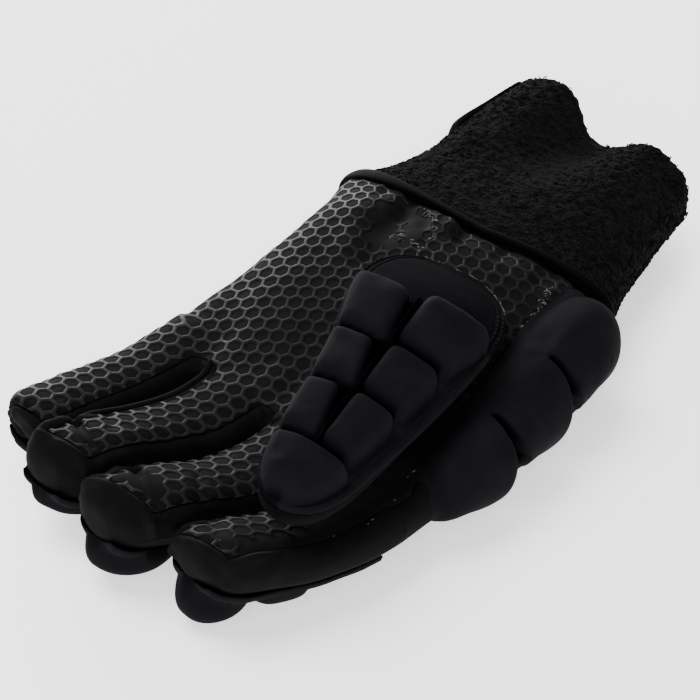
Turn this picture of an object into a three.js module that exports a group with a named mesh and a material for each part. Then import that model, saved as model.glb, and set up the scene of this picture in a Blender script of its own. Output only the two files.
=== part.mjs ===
// A padded indoor hockey glove for the left hand, empty and lying on its back with the palm up.
// Millimetres. +X is the thumb side, -Y the way the fingers point, +Z up out of the palm.
// The sewn fabric is one skin of sections, cut into its panels. The foam guards are grids of two faces.

import * as THREE from "three";

const FABRIC = 1.5; // wall of the palm, back and finger panels
const TERRY = 3; // wall of the towelling cuff
const SEAM = 0.3; // half of the gap that is left at each seam
const SEAT = 0.6; // gap between a guard and the fabric that carries it
const RIM = 2; // thickness of a guard's sewn border
const MITRE_LIMIT = 0.5; // keeps a seam's gap short at a sharp corner
const SQUARENESS = 2.6; // power of the sections: 2 is an ellipse, more is squarer

// The hand, from the wrist to the knuckles. edge is where the printed palm ends on the thumb side,
// as a share of the half width. lean is how much higher the palm is on the little finger's side.
const HAND = [
  { y: 57, left: -54.2, right: 46, low: 6, high: 38, edge: 0.8, lean: 0 },
  { y: 51, left: -51.9, right: 47, low: 7, high: 39.4, edge: 0.8, lean: 0.6 },
  { y: 44, left: -48.6, right: 48.5, low: 8, high: 40.4, edge: 0.8, lean: 1.2 },
  { y: 33, left: -46, right: 50.5, low: 9.5, high: 40, edge: 0.8, lean: 1.6 },
  { y: 20, left: -44.6, right: 53, low: 10.5, high: 38, edge: 0.8, lean: 1.6 },
  { y: 7, left: -44, right: 55.5, low: 11, high: 35.5, edge: 0.82, lean: 1.4 },
  { y: -6, left: -43.7, right: 57.5, low: 11, high: 33, edge: 0.84, lean: 1.2 },
  { y: -19, left: -44.2, right: 60, low: 10.5, high: 30.5, edge: 0.88, lean: 0.8 },
  { y: -31, left: -45.4, right: 63, low: 10, high: 28.5, edge: 0.93, lean: 0.2 },
];
const WRIST_Y = 57;
const WRIST_SLANT = 0.24; // how far the wrist's seam swings back on the thumb side, beyond SLANT_X
const SLANT_X = 4;
const SLANT_REACH = 28; // distance from the seam over which the swing fades
// Dents that wearing has left in the palm.
const DENTS = [
  { x: -22, y: 52, reachX: 4.5, reachY: 8, depth: 2.4 },
  { x: -16, y: 38, reachX: 6, reachY: 8, depth: 2.4 },
  { x: 1, y: 52, reachX: 4, reachY: 6, depth: 1.2 },
];

// The knuckle line, where the fingers part, slants away from the little finger.
const KNUCKLE_Y = -31;
const KNUCKLE_SLANT = 0.07;

// Each finger, from its root to its tip. x and half give its width, low and high its thickness.
// print is the share of its length that the printed palm reaches, and across its lines, as shares
// of the half width. The little finger's print wraps round its outer side. lobe is how low the
// guard's end lobe hangs.
const FINGERS = [
  {
    name: "little_finger",
    lobe: 11,
    tip: -87,
    print: 0.96,
    wraps: true,
    across: [-1, -0.8, -0.35, 0.2, 0.7],
    rows: [
      { y: -31, x: -33.6, half: 12, low: 10, high: 28 },
      { y: -48, x: -34.9, half: 11.3, low: 9.5, high: 27 },
      { y: -62, x: -35.9, half: 11.2, low: 10, high: 28.5 },
      { y: -76, x: -36.1, half: 11.2, low: 11.5, high: 31.5 },
      { y: -88, x: -35.5, half: 10.9, low: 15, high: 33.5 },
    ],
  },
  {
    name: "ring_finger",
    lobe: 10,
    tip: -96,
    print: 0.88,
    wraps: false,
    across: [-0.62, -0.3, 0.05, 0.4, 0.74],
    rows: [
      { y: -31, x: -6, half: 13.5, low: 10, high: 28.5 },
      { y: -48, x: -6.6, half: 12.8, low: 9.5, high: 27.5 },
      { y: -62, x: -9.4, half: 12, low: 10, high: 30 },
      { y: -76, x: -12.4, half: 11.6, low: 12.5, high: 34.5 },
      { y: -96, x: -16, half: 11.2, low: 17.5, high: 37.5 },
    ],
  },
  {
    name: "middle_finger",
    lobe: 5.4,
    tip: -98,
    print: 0.87,
    wraps: false,
    across: [-0.8, -0.4, 0, 0.42, 0.84],
    rows: [
      { y: -31, x: 21.8, half: 13, low: 10, high: 28.5 },
      { y: -48, x: 21.2, half: 12.7, low: 9.5, high: 27.5 },
      { y: -62, x: 18.6, half: 12.2, low: 10, high: 29 },
      { y: -76, x: 14.2, half: 12, low: 12.5, high: 33.5 },
      { y: -98, x: 9, half: 11.6, low: 17.5, high: 37.5 },
    ],
  },
  {
    name: "index_finger",
    lobe: 2.6,
    tip: -90,
    print: 0.9,
    wraps: false,
    across: [-0.84, -0.5, -0.12, 0.24, 0.6],
    rows: [
      { y: -31, x: 49.3, half: 13.6, low: 10.5, high: 28 },
      { y: -48, x: 49.4, half: 13.6, low: 11.5, high: 28 },
      { y: -62, x: 47.6, half: 13.2, low: 12.5, high: 29 },
      { y: -76, x: 42.8, half: 12.6, low: 14.5, high: 32 },
      { y: -92, x: 37.6, half: 12, low: 18.5, high: 35 },
    ],
  },
];
const FINGER_ROWS = [0.13, 0.28, 0.43, 0.58, 0.72, 0.84, 0.93, 0.985]; // shares of a finger's length
const TIP_FROM = 0.82; // share of the length where the tip starts to close
const TIP_POWER = 2.9;
const FINGER_ROLL = 0.14; // how far the fingers lean over to the little finger's side, per unit of depth
const ROLL_FROM = 0.4; // share of the length over which the lean sets in
const LOBE_REACH = 0.3; // how far the end lobes reach past the tip, per unit of depth
// The thumb leaves the palm through a hole and folds forward over it. near and far are the ends
// of each ring in side view: the one that faces the palm and the one that faces up.
const THUMB = [
  { x: 24, nearY: -6, nearZ: 33, farY: 21, farZ: 39, half: 18.5, power: 4, yaw: 0, roll: 0 },
  { x: 25, nearY: -8, nearZ: 35.4, farY: 20, farZ: 43.4, half: 18, power: 3.6, yaw: 3, roll: 1 },
  { x: 27.5, nearY: -10, nearZ: 36.4, farY: 13, farZ: 48, half: 18.5, power: 3, yaw: 6, roll: 4 },
  { x: 30.5, nearY: -14, nearZ: 36.6, farY: 3, farZ: 52, half: 18.5, power: 2.7, yaw: 10, roll: 6 },
  { x: 34.3, nearY: -20, nearZ: 36, farY: -13, farZ: 50.4, half: 17.6, power: 2.5, yaw: 14, roll: 8 },
  { x: 37.6, nearY: -30, nearZ: 35, farY: -27, farZ: 48, half: 16.4, power: 2.5, yaw: 15.6, roll: 8 },
  { x: 41.9, nearY: -45, nearZ: 34, farY: -44, farZ: 46.2, half: 14.4, power: 2.5, yaw: 15.6, roll: 8 },
  { x: 45.5, nearY: -58, nearZ: 34, farY: -58, farZ: 45, half: 12, power: 2.5, yaw: 15.6, roll: 8 },
  { x: 47.7, nearY: -66, nearZ: 34.6, farY: -66, farZ: 44, half: 8.6, power: 2.3, yaw: 15.6, roll: 8 },
  { x: 48.9, nearY: -70, nearZ: 36.6, farY: -70, farZ: 41.8, half: 4.4, power: 2.1, yaw: 15.6, roll: 8 },
];
const THUMB_TIP = { x: 49.4, y: -71.8, z: 39.2 };
const THUMB_LIFT = 0.6; // gap between the thumb's root ring and the palm
const THUMB_SIDES = 18;
const THUMB_HOLE = { rows: [4, 6], columns: [10, 17] }; // the quads of the palm that it leaves out

// The thumb's guard: a broad border that narrows to a round end, with two rows of blocks and a tip.
// along runs down the thumb's middle line, and right and left are the half widths.
const THUMB_AXIS = { x: 24.6, y: 24.4, yaw: 15.6 }; // where its middle line starts, and its slant
const THUMB_GUARD = [
  { along: -9.6, z: 42, left: 6, right: 0.5, arch: 0.4 },
  { along: -8.6, z: 42.6, left: 14, right: 3, arch: 0.6 },
  { along: -5, z: 44.2, left: 20, right: 9.4, arch: 1.3 },
  { along: 2, z: 47.6, left: 23.4, right: 15.8, arch: 2.4 },
  { along: 14, z: 52, left: 24.2, right: 21.2, arch: 4 },
  { along: 26, z: 53.8, left: 22.2, right: 22.4, arch: 4.4 },
  { along: 42, z: 52, left: 18.4, right: 21, arch: 4 },
  { along: 62, z: 49.4, left: 15.4, right: 17.8, arch: 3.6 },
  { along: 82, z: 47.4, left: 13.2, right: 14.2, arch: 3 },
  { along: 91, z: 46.5, left: 11.4, right: 11.8, arch: 2.4 },
  { along: 96.5, z: 45.8, left: 8.4, right: 8.6, arch: 1.6 },
  { along: 99.6, z: 45.3, left: 4.8, right: 4.8, arch: 0.8 },
  { along: 101, z: 45.1, left: 0.8, right: 0.8, arch: 0.4 },
];
const GUARD_ROLL = 9; // degrees that the thumb's guard leans down on the thumb side
const BLOCK_RISE = 8.5; // height of its blocks above the border
const BLOCK_WALL = 2.6; // width of a block's sloping side, along the guard
const BLOCK_WALL_ACROSS = 0.09; // the same across it, as a share of the half width
// The sloping side of a block: how far in, in widths of the wall, and the share of full height.
const ROUND_WALL = [
  { in: 0, height: 0 },
  { in: 0.4, height: 0.62 },
  { in: 1.6, height: 1 },
];
const PLAIN_WALL = [
  { in: 0, height: 0 },
  { in: 1, height: 1 },
];
// Rows of blocks, as lengths along the guard, from the wrist's end to the tip.
const THUMB_BLOCK_ROWS = [
  { from: 21.4, to: 42.3 },
  { from: 43.8, to: 61.4 },
  { from: 62.9, to: 82.5 },
  { from: 84.2, to: 99.4 },
];
const THUMB_BLOCK_SPAN = { left: 0.94, right: 0.86 }; // share of each half width that the blocks cover
const THUMB_GROOVE = 0.04; // half of the middle groove, as a share of the half width

// The guard on the side of the hand. Its upper and lower edges are angles round the hand's section
// from the top, and the upper one climbs by topClimb between two places along y.
const SIDE_GUARD = {
  top: 50,
  topClimb: 2.5,
  climbFrom: 22,
  climbTo: 36,
  bottom: 131,
  from: 53,
  to: -24,
  gap: 1,
};
const SIDE_WALL = 2.6; // width of the lobes' sloping ends
const SIDE_LOBES = [
  { from: 52.5, to: 29.4, rise: 13 },
  { from: 24.4, to: 3.6, rise: 11 },
  { from: -1.6, to: -23, rise: 10 },
];
// The lobes' section, from the upper edge to the lower one: share of the way round and of the height.
const SIDE_SECTION = [
  { at: 0, height: 0 },
  { at: 0.12, height: 0.12 },
  { at: 0.22, height: 0.49 },
  { at: 0.34, height: 0.81 },
  { at: 0.5, height: 0.97 },
  { at: 0.72, height: 1 },
  { at: 0.88, height: 0.9 },
  { at: 0.96, height: 0.58 },
  { at: 1, height: 0 },
];
const BACK_BLOCKS = {
  across: [
    { from: -0.7, to: -0.04 },
    { from: 0.03, to: 0.72 },
  ],
  along: [
    { from: 43, to: 22 },
    { from: 19, to: -2 },
    { from: -5, to: -26 },
  ],
  border: 0.8,
  from: 46,
  to: -29,
  gap: 1.2,
  wall: 3,
  wallAcross: 0.05,
};
// Lobes under each finger, as shares of its length.
const FINGER_LOBES = [
  { from: 0.15, to: 0.4 },
  { from: 0.42, to: 0.67 },
  { from: 0.69, to: 0.985 },
];
// depth is the lobes', but for the end one. wall and wallAcross are the widths of their sides.
const FINGER_GUARD = {
  span: 0.9,
  block: 0.87,
  from: 0.13,
  to: 0.99,
  depth: 5,
  gap: 1.3,
  wall: 0.06,
  wallAcross: 0.4,
};

// The cuff, from the wrist to its open end. dip is how far the upper side sags there, at SAG_X.
const CUFF = [
  { y: 58, left: -53.6, right: 45.8, low: 5.6, high: 38, dip: 0 },
  { y: 70, left: -50.7, right: 42.8, low: 4, high: 38, dip: 0 },
  { y: 85, left: -48.6, right: 38.2, low: 3, high: 38, dip: 1.5 },
  { y: 100, left: -50.5, right: 33.6, low: 2.6, high: 38, dip: 5 },
  { y: 116, left: -52.4, right: 29, low: 2.6, high: 38.4, dip: 9.5 },
  { y: 134, left: -52.6, right: 24.8, low: 2.6, high: 38.6, dip: 13.4 },
];
const SAG_X = -12;
const SAG_WIDTH = 15;
// The cuff's open end reaches further on the little finger's side: by how much, and where that sets in.
const CUFF_REACH = { most: 6, fromX: -15, fullX: -32, fromY: 80, fullY: 134 };
const CUFF_SIDES = 28;
const CUFF_ROWS = [58, 66, 77, 89, 101, 113, 124, 131, 134];
const BINDING = { from: 55.6, to: 60, rows: 3, wall: 1.2, gap: 1.25, sides: 32 };
// start and end are angles round the cuff's section from the top. clear is the height above the floor.
const STRAP = { from: 101, to: 130, rows: 4, start: 150, end: 298, columns: 16, clear: 0.1 };

const MATERIALS = {
  palm_print: { color: 0x1b1b1c, roughness: 0.55, metalness: 0 },
  stretch_fabric: { color: 0x101012, roughness: 0.8, metalness: 0 },
  guard_fabric: { color: 0x16161b, roughness: 0.75, metalness: 0 },
  terry: { color: 0x0e0e0f, roughness: 0.95, metalness: 0 },
  binding: { color: 0x111113, roughness: 0.7, metalness: 0 },
  strap: { color: 0x141416, roughness: 0.6, metalness: 0 },
};

const radians = THREE.MathUtils.degToRad;
const vector = (x, y, z) => new THREE.Vector3(x, y, z);
const { lerp, smoothstep } = THREE.MathUtils;
const signedPower = (value, power) => Math.sign(value) * Math.abs(value) ** power;

// Every number of a table's row at a place between rows, along a smooth cubic.
function sample(rows, key, at) {
  const falling = rows[0][key] > rows[rows.length - 1][key];
  let i = 0;
  while (i < rows.length - 2 && (falling ? at < rows[i + 1][key] : at > rows[i + 1][key])) i++;
  const [a, b] = [rows[i], rows[i + 1]];
  const [before, after] = [rows[i - 1] ?? a, rows[i + 2] ?? b];
  const step = b[key] - a[key];
  const t = THREE.MathUtils.clamp((at - a[key]) / step, 0, 1);
  const row = {};
  for (const column of Object.keys(a)) {
    if (typeof a[column] !== "number") continue;
    const into = ((b[column] - before[column]) / (b[key] - before[key])) * step;
    const out = ((after[column] - a[column]) / (after[key] - a[key])) * step;
    row[column] =
      a[column] * (2 * t ** 3 - 3 * t ** 2 + 1) +
      into * (t ** 3 - 2 * t ** 2 + t) +
      b[column] * (3 * t ** 2 - 2 * t ** 3) +
      out * (t ** 3 - t ** 2);
  }
  return row;
}

// Height of a section above its middle at a place across it, -1 to 1, as a share of its half height.
const crown = (across) => (1 - Math.min(1, Math.abs(across)) ** SQUARENESS) ** (1 / SQUARENESS);

// A point of the hand's skin. side is +1 on the palm and -1 on the back.
function handPoint(y, across, side) {
  const row = sample(HAND, "y", y);
  const half = (row.right - row.left) / 2;
  const rise = (row.high - row.low) / 2;
  const lean = side > 0 ? -row.lean * across * crown(across) : 0;
  const x = row.left + half * (1 + across);
  const dent = side > 0 ? dentDepth(x, y) : 0;
  const z = row.low + rise * (1 + side * crown(across)) + lean - dent;
  return vector(x, y + seamSwing(x, y), z);
}

// How far the wrist's slant moves a point along y.
function seamSwing(x, y) {
  const fade = Math.max(0, 1 - Math.abs(y - WRIST_Y) / SLANT_REACH);
  return WRIST_SLANT * Math.max(0, x - SLANT_X) * fade;
}

function dentDepth(x, y) {
  return DENTS.reduce((sum, dent) => {
    const far = ((x - dent.x) / dent.reachX) ** 2 + ((y - dent.y) / dent.reachY) ** 2;
    return sum + dent.depth * Math.exp(-far);
  }, 0);
}

// A point of the hand's skin by the angle round its section, from the top towards the thumb side.
function handPointAt(y, angle) {
  const row = sample(HAND, "y", y);
  const half = (row.right - row.left) / 2;
  const rise = (row.high - row.low) / 2;
  const across = signedPower(Math.sin(radians(angle)), 2 / SQUARENESS);
  const up = signedPower(Math.cos(radians(angle)), 2 / SQUARENESS);
  const x = row.left + half * (1 + across);
  return vector(x, y + seamSwing(x, y), row.low + rise * (1 + up));
}

const knuckleY = (x) => KNUCKLE_Y - KNUCKLE_SLANT * (x - FINGERS[0].rows[0].x);

// A point of a finger's skin at a share of its length. side is +1 on the palm and -1 on the back.
function fingerPoint(finger, share, across, side) {
  const root = knuckleY(finger.rows[0].x);
  const y = lerp(root, finger.tip, share);
  const row = sample(finger.rows, "y", y);
  const ending = Math.max(0, (share - TIP_FROM) / (1 - TIP_FROM));
  const closing = (1 - Math.min(1, ending) ** TIP_POWER) ** (1 / TIP_POWER);
  const middle = (row.low + row.high) / 2;
  const rise = ((row.high - row.low) / 2) * closing;
  const z = middle + side * rise * crown(across);
  const lean = rollAt(share) * (row.high - z);
  return vector(row.x + row.half * across * closing - lean, y, z);
}

const rollAt = (share) => FINGER_ROLL * Math.min(1, share / ROLL_FROM);

// A skin of quads and triangles with named points. Each face belongs to one panel.
class Skin {
  constructor() {
    this.points = [];
    this.names = new Map();
    this.faces = [];
  }

  point(name, position) {
    if (!this.names.has(name)) {
      this.names.set(name, this.points.length);
      this.points.push(position);
    }
    return this.names.get(name);
  }

  face(panel, ...names) {
    const corners = names.map((name) => this.names.get(name));
    this.faces.push({ panel, corners: corners.filter((c, i) => corners.indexOf(c) === i) });
  }

  normals() {
    const sums = this.points.map(() => vector(0, 0, 0));
    for (const { corners } of this.faces) {
      const normal = faceNormal(corners.map((c) => this.points[c]));
      for (const c of corners) sums[c].add(normal);
    }
    return sums.map((sum) => sum.normalize());
  }
}

// The normal of a face, as long as twice its area.
function faceNormal(corners) {
  const sum = vector(0, 0, 0);
  corners.forEach((a, i) => sum.add(a.clone().cross(corners[(i + 1) % corners.length])));
  return sum;
}

// The step that keeps a unit distance from both edges of a border's corner.
function mitre([first, second]) {
  return first.clone().add(second).divideScalar(Math.max(MITRE_LIMIT, 1 + first.dot(second)));
}

function geometryOf(points, triangles) {
  const geometry = new THREE.BufferGeometry();
  geometry.setFromPoints(points);
  geometry.setIndex(triangles.flat());
  return geometry;
}

// One panel of a skin as a closed wall. Its border is drawn in by the seam's half gap.
function panelGeometry(skin, panel, wall) {
  const normals = skin.normals();
  const faces = skin.faces.filter((face) => face.panel === panel);
  const edges = new Map();
  for (const { corners } of faces) {
    const normal = faceNormal(corners.map((c) => skin.points[c])).normalize();
    corners.forEach((a, i) => {
      const b = corners[(i + 1) % corners.length];
      edges.set(`${a} ${b}`, { a, b, normal });
    });
  }
  const border = [...edges.values()].filter(({ a, b }) => !edges.has(`${b} ${a}`));
  const inward = new Map();
  for (const { a, b, normal } of border) {
    const along = skin.points[b].clone().sub(skin.points[a]);
    const step = normal.clone().cross(along).normalize();
    for (const c of [a, b]) inward.set(c, [...(inward.get(c) ?? []), step]);
  }
  const used = [...new Set(faces.flatMap((face) => face.corners))];
  const place = new Map(used.map((c, i) => [c, i]));
  const outer = used.map((c) => {
    const steps = inward.get(c);
    return steps ? skin.points[c].clone().addScaledVector(mitre(steps), SEAM) : skin.points[c].clone();
  });
  const inner = outer.map((p, i) => p.clone().addScaledVector(normals[used[i]], -wall));
  const count = used.length;
  const triangles = [];
  for (const { corners } of faces) {
    const c = corners.map((corner) => place.get(corner));
    for (let i = 1; i < c.length - 1; i++) {
      triangles.push([c[0], c[i], c[i + 1]], [c[0] + count, c[i + 1] + count, c[i] + count]);
    }
  }
  for (const edge of border) {
    // Both panels at a seam part their walls' ends along the same line, so the gap stays even.
    const [a, b] = [place.get(edge.a), place.get(edge.b)];
    if (edge.a < edge.b) triangles.push([b, a, a + count], [b, a + count, b + count]);
    else triangles.push([b, a, b + count], [a, a + count, b + count]);
  }
  return geometryOf([...outer, ...inner], triangles);
}

// A closed solid between two grids of points that have the same rows and columns.
function slabGeometry(lower, upper) {
  const rows = lower.length;
  const columns = lower[0].length;
  const count = rows * columns;
  const at = (i, j) => i * columns + j;
  const triangles = [];
  const quad = (a, b, c, d) => triangles.push([a, b, c], [a, c, d]);
  for (let i = 0; i < rows - 1; i++) {
    for (let j = 0; j < columns - 1; j++) {
      const [a, b, c, d] = [at(i, j), at(i, j + 1), at(i + 1, j + 1), at(i + 1, j)];
      quad(a, b, c, d);
      quad(d + count, c + count, b + count, a + count);
    }
  }
  const rim = [];
  for (let j = 0; j < columns - 1; j++) rim.push([at(0, j), at(0, j + 1)]);
  for (let i = 0; i < rows - 1; i++) rim.push([at(i, columns - 1), at(i + 1, columns - 1)]);
  for (let j = columns - 1; j > 0; j--) rim.push([at(rows - 1, j), at(rows - 1, j - 1)]);
  for (let i = rows - 1; i > 0; i--) rim.push([at(i, 0), at(i - 1, 0)]);
  for (const [a, b] of rim) quad(b, a, a + count, b + count);
  const points = [...lower.flat(), ...upper.flat()];
  return geometryOf(points, volume(points, triangles) < 0 ? triangles.map(flipped) : triangles);
}

const flipped = ([a, b, c]) => [a, c, b];

function volume(points, triangles) {
  return triangles.reduce(
    (sum, [a, b, c]) => sum + points[a].dot(points[b].clone().cross(points[c])) / 6,
    0,
  );
}

// The lines of a grid over a row of blocks, with the blocks' share of full height at each line.
// profile is the shape of a block's side, and wall its width.
function blockLines(start, blocks, end, wall, profile, middle = false) {
  const lines = [{ at: start, height: 0 }];
  for (const { from, to, rise } of blocks) {
    const step = Math.sign(to - from) * wall;
    const rising = profile.map((line) => ({ at: from + step * line.in, height: line.height, rise }));
    const falling = profile.map((line) => ({ at: to - step * line.in, height: line.height, rise }));
    const top = middle ? [{ at: (from + to) / 2, height: 1, rise }] : [];
    lines.push(...rising, ...top, ...falling.reverse());
  }
  lines.push({ at: end, height: 0 });
  return lines;
}

// The sewn skin: hand, four fingers and the short walls between them.
function gloveSkin() {
  const skin = new Skin();
  const knuckles = FINGERS.flatMap(({ rows: [root], across }) =>
    across.map((share) => root.x + root.half * share),
  );
  const last = HAND.length - 1;
  const middle = (HAND[last].left + HAND[last].right) / 2;
  const half = (HAND[last].right - HAND[last].left) / 2;
  const columns = knuckles.map((x) => (x - middle) / half);
  const widest = columns[columns.length - 1];

  HAND.forEach((row, r) => {
    columns.forEach((column, c) => {
      const across = -1 + ((column + 1) / (widest + 1)) * (row.edge + 1);
      const [top, under] = [1, -1].map((side) => handPoint(row.y, across, side));
      if (r === last) top.y = under.y = knuckleY(knuckles[c]);
      skin.point(`palm ${r} ${c}`, top);
      if (c === 0) skin.names.set(`back ${r} 0`, skin.names.get(`palm ${r} 0`));
      else skin.point(`back ${r} ${c}`, under);
    });
    const side = handPoint(row.y, 1, 1);
    if (r === last) side.y = knuckleY(side.x);
    skin.point(`side ${r}`, side);
  });

  const { rows: holeRows, columns: holeColumns } = THUMB_HOLE;
  for (let r = 0; r < last; r++) {
    for (let c = 0; c < columns.length - 1; c++) {
      const inRows = r >= holeRows[0] && r < holeRows[1];
      const inHole = inRows && c >= holeColumns[0] && c < holeColumns[1];
      const [a, b] = [`${r} ${c}`, `${r} ${c + 1}`];
      const [d, e] = [`${r + 1} ${c}`, `${r + 1} ${c + 1}`];
      skin.face(inHole ? "thumb_hole" : "palm_panel", `palm ${b}`, `palm ${a}`, `palm ${d}`, `palm ${e}`);
      skin.face("back_panel", `back ${a}`, `back ${b}`, `back ${e}`, `back ${d}`);
    }
    const c = columns.length - 1;
    skin.face("back_panel", `side ${r}`, `palm ${r} ${c}`, `palm ${r + 1} ${c}`, `side ${r + 1}`);
    skin.face("back_panel", `back ${r} ${c}`, `side ${r}`, `side ${r + 1}`, `back ${r + 1} ${c}`);
  }

  const width = FINGERS[0].across.length;
  FINGERS.forEach((finger, f) => {
    const name = (row, part, c) => `${finger.name} ${row} ${part} ${c}`;
    const alias = (to, from) => skin.names.set(to, skin.names.get(from));
    const root = finger.rows[0];
    const sides = finger.wraps ? [1] : [-1, 1];
    for (let c = 0; c < width; c++) {
      alias(name(0, "palm", c), `palm ${last} ${f * width + c}`);
      alias(name(0, "back", c), `back ${last} ${f * width + c}`);
    }
    for (const side of sides) {
      if (f === FINGERS.length - 1 && side === 1) alias(name(0, "side", side), `side ${last}`);
      else {
        const x = root.x + root.half * side;
        const z = (HAND[last].low + HAND[last].high) / 2;
        skin.point(name(0, "side", side), vector(x, knuckleY(x), z));
      }
    }
    FINGER_ROWS.forEach((share, i) => {
      finger.across.forEach((across, c) => {
        skin.point(name(i + 1, "palm", c), fingerPoint(finger, share, across, 1));
        if (finger.wraps && c === 0) alias(name(i + 1, "back", c), name(i + 1, "palm", c));
        else skin.point(name(i + 1, "back", c), fingerPoint(finger, share, across, -1));
      });
      for (const side of sides) {
        skin.point(name(i + 1, "side", side), fingerPoint(finger, share, side, 1));
      }
    });
    const tip = `${finger.name} tip`;
    skin.point(tip, fingerPoint(finger, 1, 0, 1));
    const sleeve = `${finger.name}_sleeve`;
    const rows = FINGER_ROWS.length;
    for (let r = 0; r <= rows; r++) {
      const printed = r < rows && FINGER_ROWS[r] <= finger.print;
      const next = (part, c) => (r < rows ? name(r + 1, part, c) : tip);
      for (let c = 0; c < width - 1; c++) {
        skin.face(
          printed ? "palm_panel" : sleeve,
          name(r, "palm", c + 1), name(r, "palm", c), next("palm", c), next("palm", c + 1),
        );
        skin.face(sleeve, name(r, "back", c), name(r, "back", c + 1), next("back", c + 1), next("back", c));
      }
      const end = width - 1;
      skin.face(sleeve, name(r, "side", 1), name(r, "palm", end), next("palm", end), next("side", 1));
      skin.face(sleeve, name(r, "back", end), name(r, "side", 1), next("side", 1), next("back", end));
      if (finger.wraps) continue;
      skin.face(sleeve, name(r, "palm", 0), name(r, "side", -1), next("side", -1), next("palm", 0));
      skin.face(sleeve, name(r, "side", -1), name(r, "back", 0), next("back", 0), next("side", -1));
    }
  });

  for (let f = 0; f < FINGERS.length - 1; f++) {
    const [a, b] = [FINGERS[f].name, FINGERS[f + 1].name];
    const end = width - 1;
    skin.face("back_panel", `${a} 0 palm ${end}`, `${a} 0 side 1`, `${b} 0 side -1`, `${b} 0 palm 0`);
    skin.face("back_panel", `${a} 0 side 1`, `${a} 0 back ${end}`, `${b} 0 back 0`, `${b} 0 side -1`);
  }
  return skin;
}

// The direction across the thumb, turned by yaw in plan and tipped down by roll on the thumb side.
const acrossThumb = (yaw, roll) =>
  vector(Math.cos(yaw) * Math.cos(roll), Math.sin(yaw) * Math.cos(roll), -Math.sin(roll));

// The thumb's sleeve: rings from the hole in the palm to a closed tip.
function thumbSkin() {
  const skin = new Skin();
  THUMB.forEach((ring, r) => {
    const near = vector(ring.x, ring.nearY, ring.nearZ);
    const far = vector(ring.x, ring.farY, ring.farZ);
    const up = far.clone().sub(near).divideScalar(2);
    const across = acrossThumb(radians(ring.yaw), radians(ring.roll));
    for (let s = 0; s < THUMB_SIDES; s++) {
      const angle = (2 * Math.PI * s) / THUMB_SIDES;
      const point = near
        .clone()
        .add(up)
        .addScaledVector(across, ring.half * signedPower(Math.sin(angle), 2 / ring.power))
        .addScaledVector(up, signedPower(Math.cos(angle), 2 / ring.power));
      if (r === 0) point.z = palmHeight(point.x, point.y) + THUMB_LIFT;
      skin.point(`${r} ${s}`, point);
    }
  });
  skin.point("tip", vector(THUMB_TIP.x, THUMB_TIP.y, THUMB_TIP.z));
  THUMB.forEach((ring, r) => {
    for (let s = 0; s < THUMB_SIDES; s++) {
      const t = (s + 1) % THUMB_SIDES;
      if (r === THUMB.length - 1) skin.face("thumb_sleeve", `${r} ${t}`, `${r} ${s}`, "tip");
      else skin.face("thumb_sleeve", `${r} ${t}`, `${r} ${s}`, `${r + 1} ${s}`, `${r + 1} ${t}`);
    }
  });
  return skin;
}

// Height of the palm's skin above a place in plan.
function palmHeight(x, y) {
  const row = sample(HAND, "y", y);
  const half = (row.right - row.left) / 2;
  return handPoint(y, (x - row.left) / half - 1, 1).z;
}

// The thumb's guard. The blocks rise from a border that arches over the sleeve.
function thumbGuard() {
  const first = THUMB_BLOCK_ROWS[0].from;
  const last = THUMB_GUARD[THUMB_GUARD.length - 1].along;
  const before = THUMB_GUARD.filter(({ along }) => along < first);
  const border = before.map(({ along }) => ({ at: along, height: 0 }));
  const blockRows = blockLines(first, THUMB_BLOCK_ROWS, last, BLOCK_WALL, ROUND_WALL).slice(1);
  const rows = [...border, ...blockRows];
  const tipFrom = THUMB_BLOCK_ROWS[THUMB_BLOCK_ROWS.length - 1].from;
  const blocks = [
    { from: -THUMB_BLOCK_SPAN.left, to: -THUMB_GROOVE },
    { from: THUMB_GROOVE, to: THUMB_BLOCK_SPAN.right },
  ];
  const columns = blockLines(-1, blocks, 1, BLOCK_WALL_ACROSS, ROUND_WALL);
  const grooveEnd = THUMB_GROOVE + BLOCK_WALL_ACROSS * ROUND_WALL[ROUND_WALL.length - 1].in;
  const yaw = radians(THUMB_AXIS.yaw);
  const across = acrossThumb(yaw, radians(GUARD_ROLL));
  const down = vector(Math.sin(yaw), -Math.cos(yaw), 0);
  const up = across.clone().cross(down).multiplyScalar(-1).normalize();
  const point = (row, column, lift) => {
    const at = sample(THUMB_GUARD, "along", row.at);
    const side = column.at < 0 ? at.left : at.right;
    return vector(THUMB_AXIS.x, THUMB_AXIS.y, at.z)
      .addScaledVector(down, row.at)
      .addScaledVector(across, side * column.at)
      .addScaledVector(up, lift - at.arch * column.at ** 2);
  };
  const height = (row, column) => {
    // The tip is one block, so the middle groove stops above it.
    const share = row.at > tipFrom && Math.abs(column.at) <= grooveEnd ? 1 : column.height;
    return RIM + BLOCK_RISE * row.height * share;
  };
  return slabGeometry(
    rows.map((row) => columns.map((column) => point(row, column, 0))),
    rows.map((row) => columns.map((column) => point(row, column, height(row, column)))),
  );
}

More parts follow.
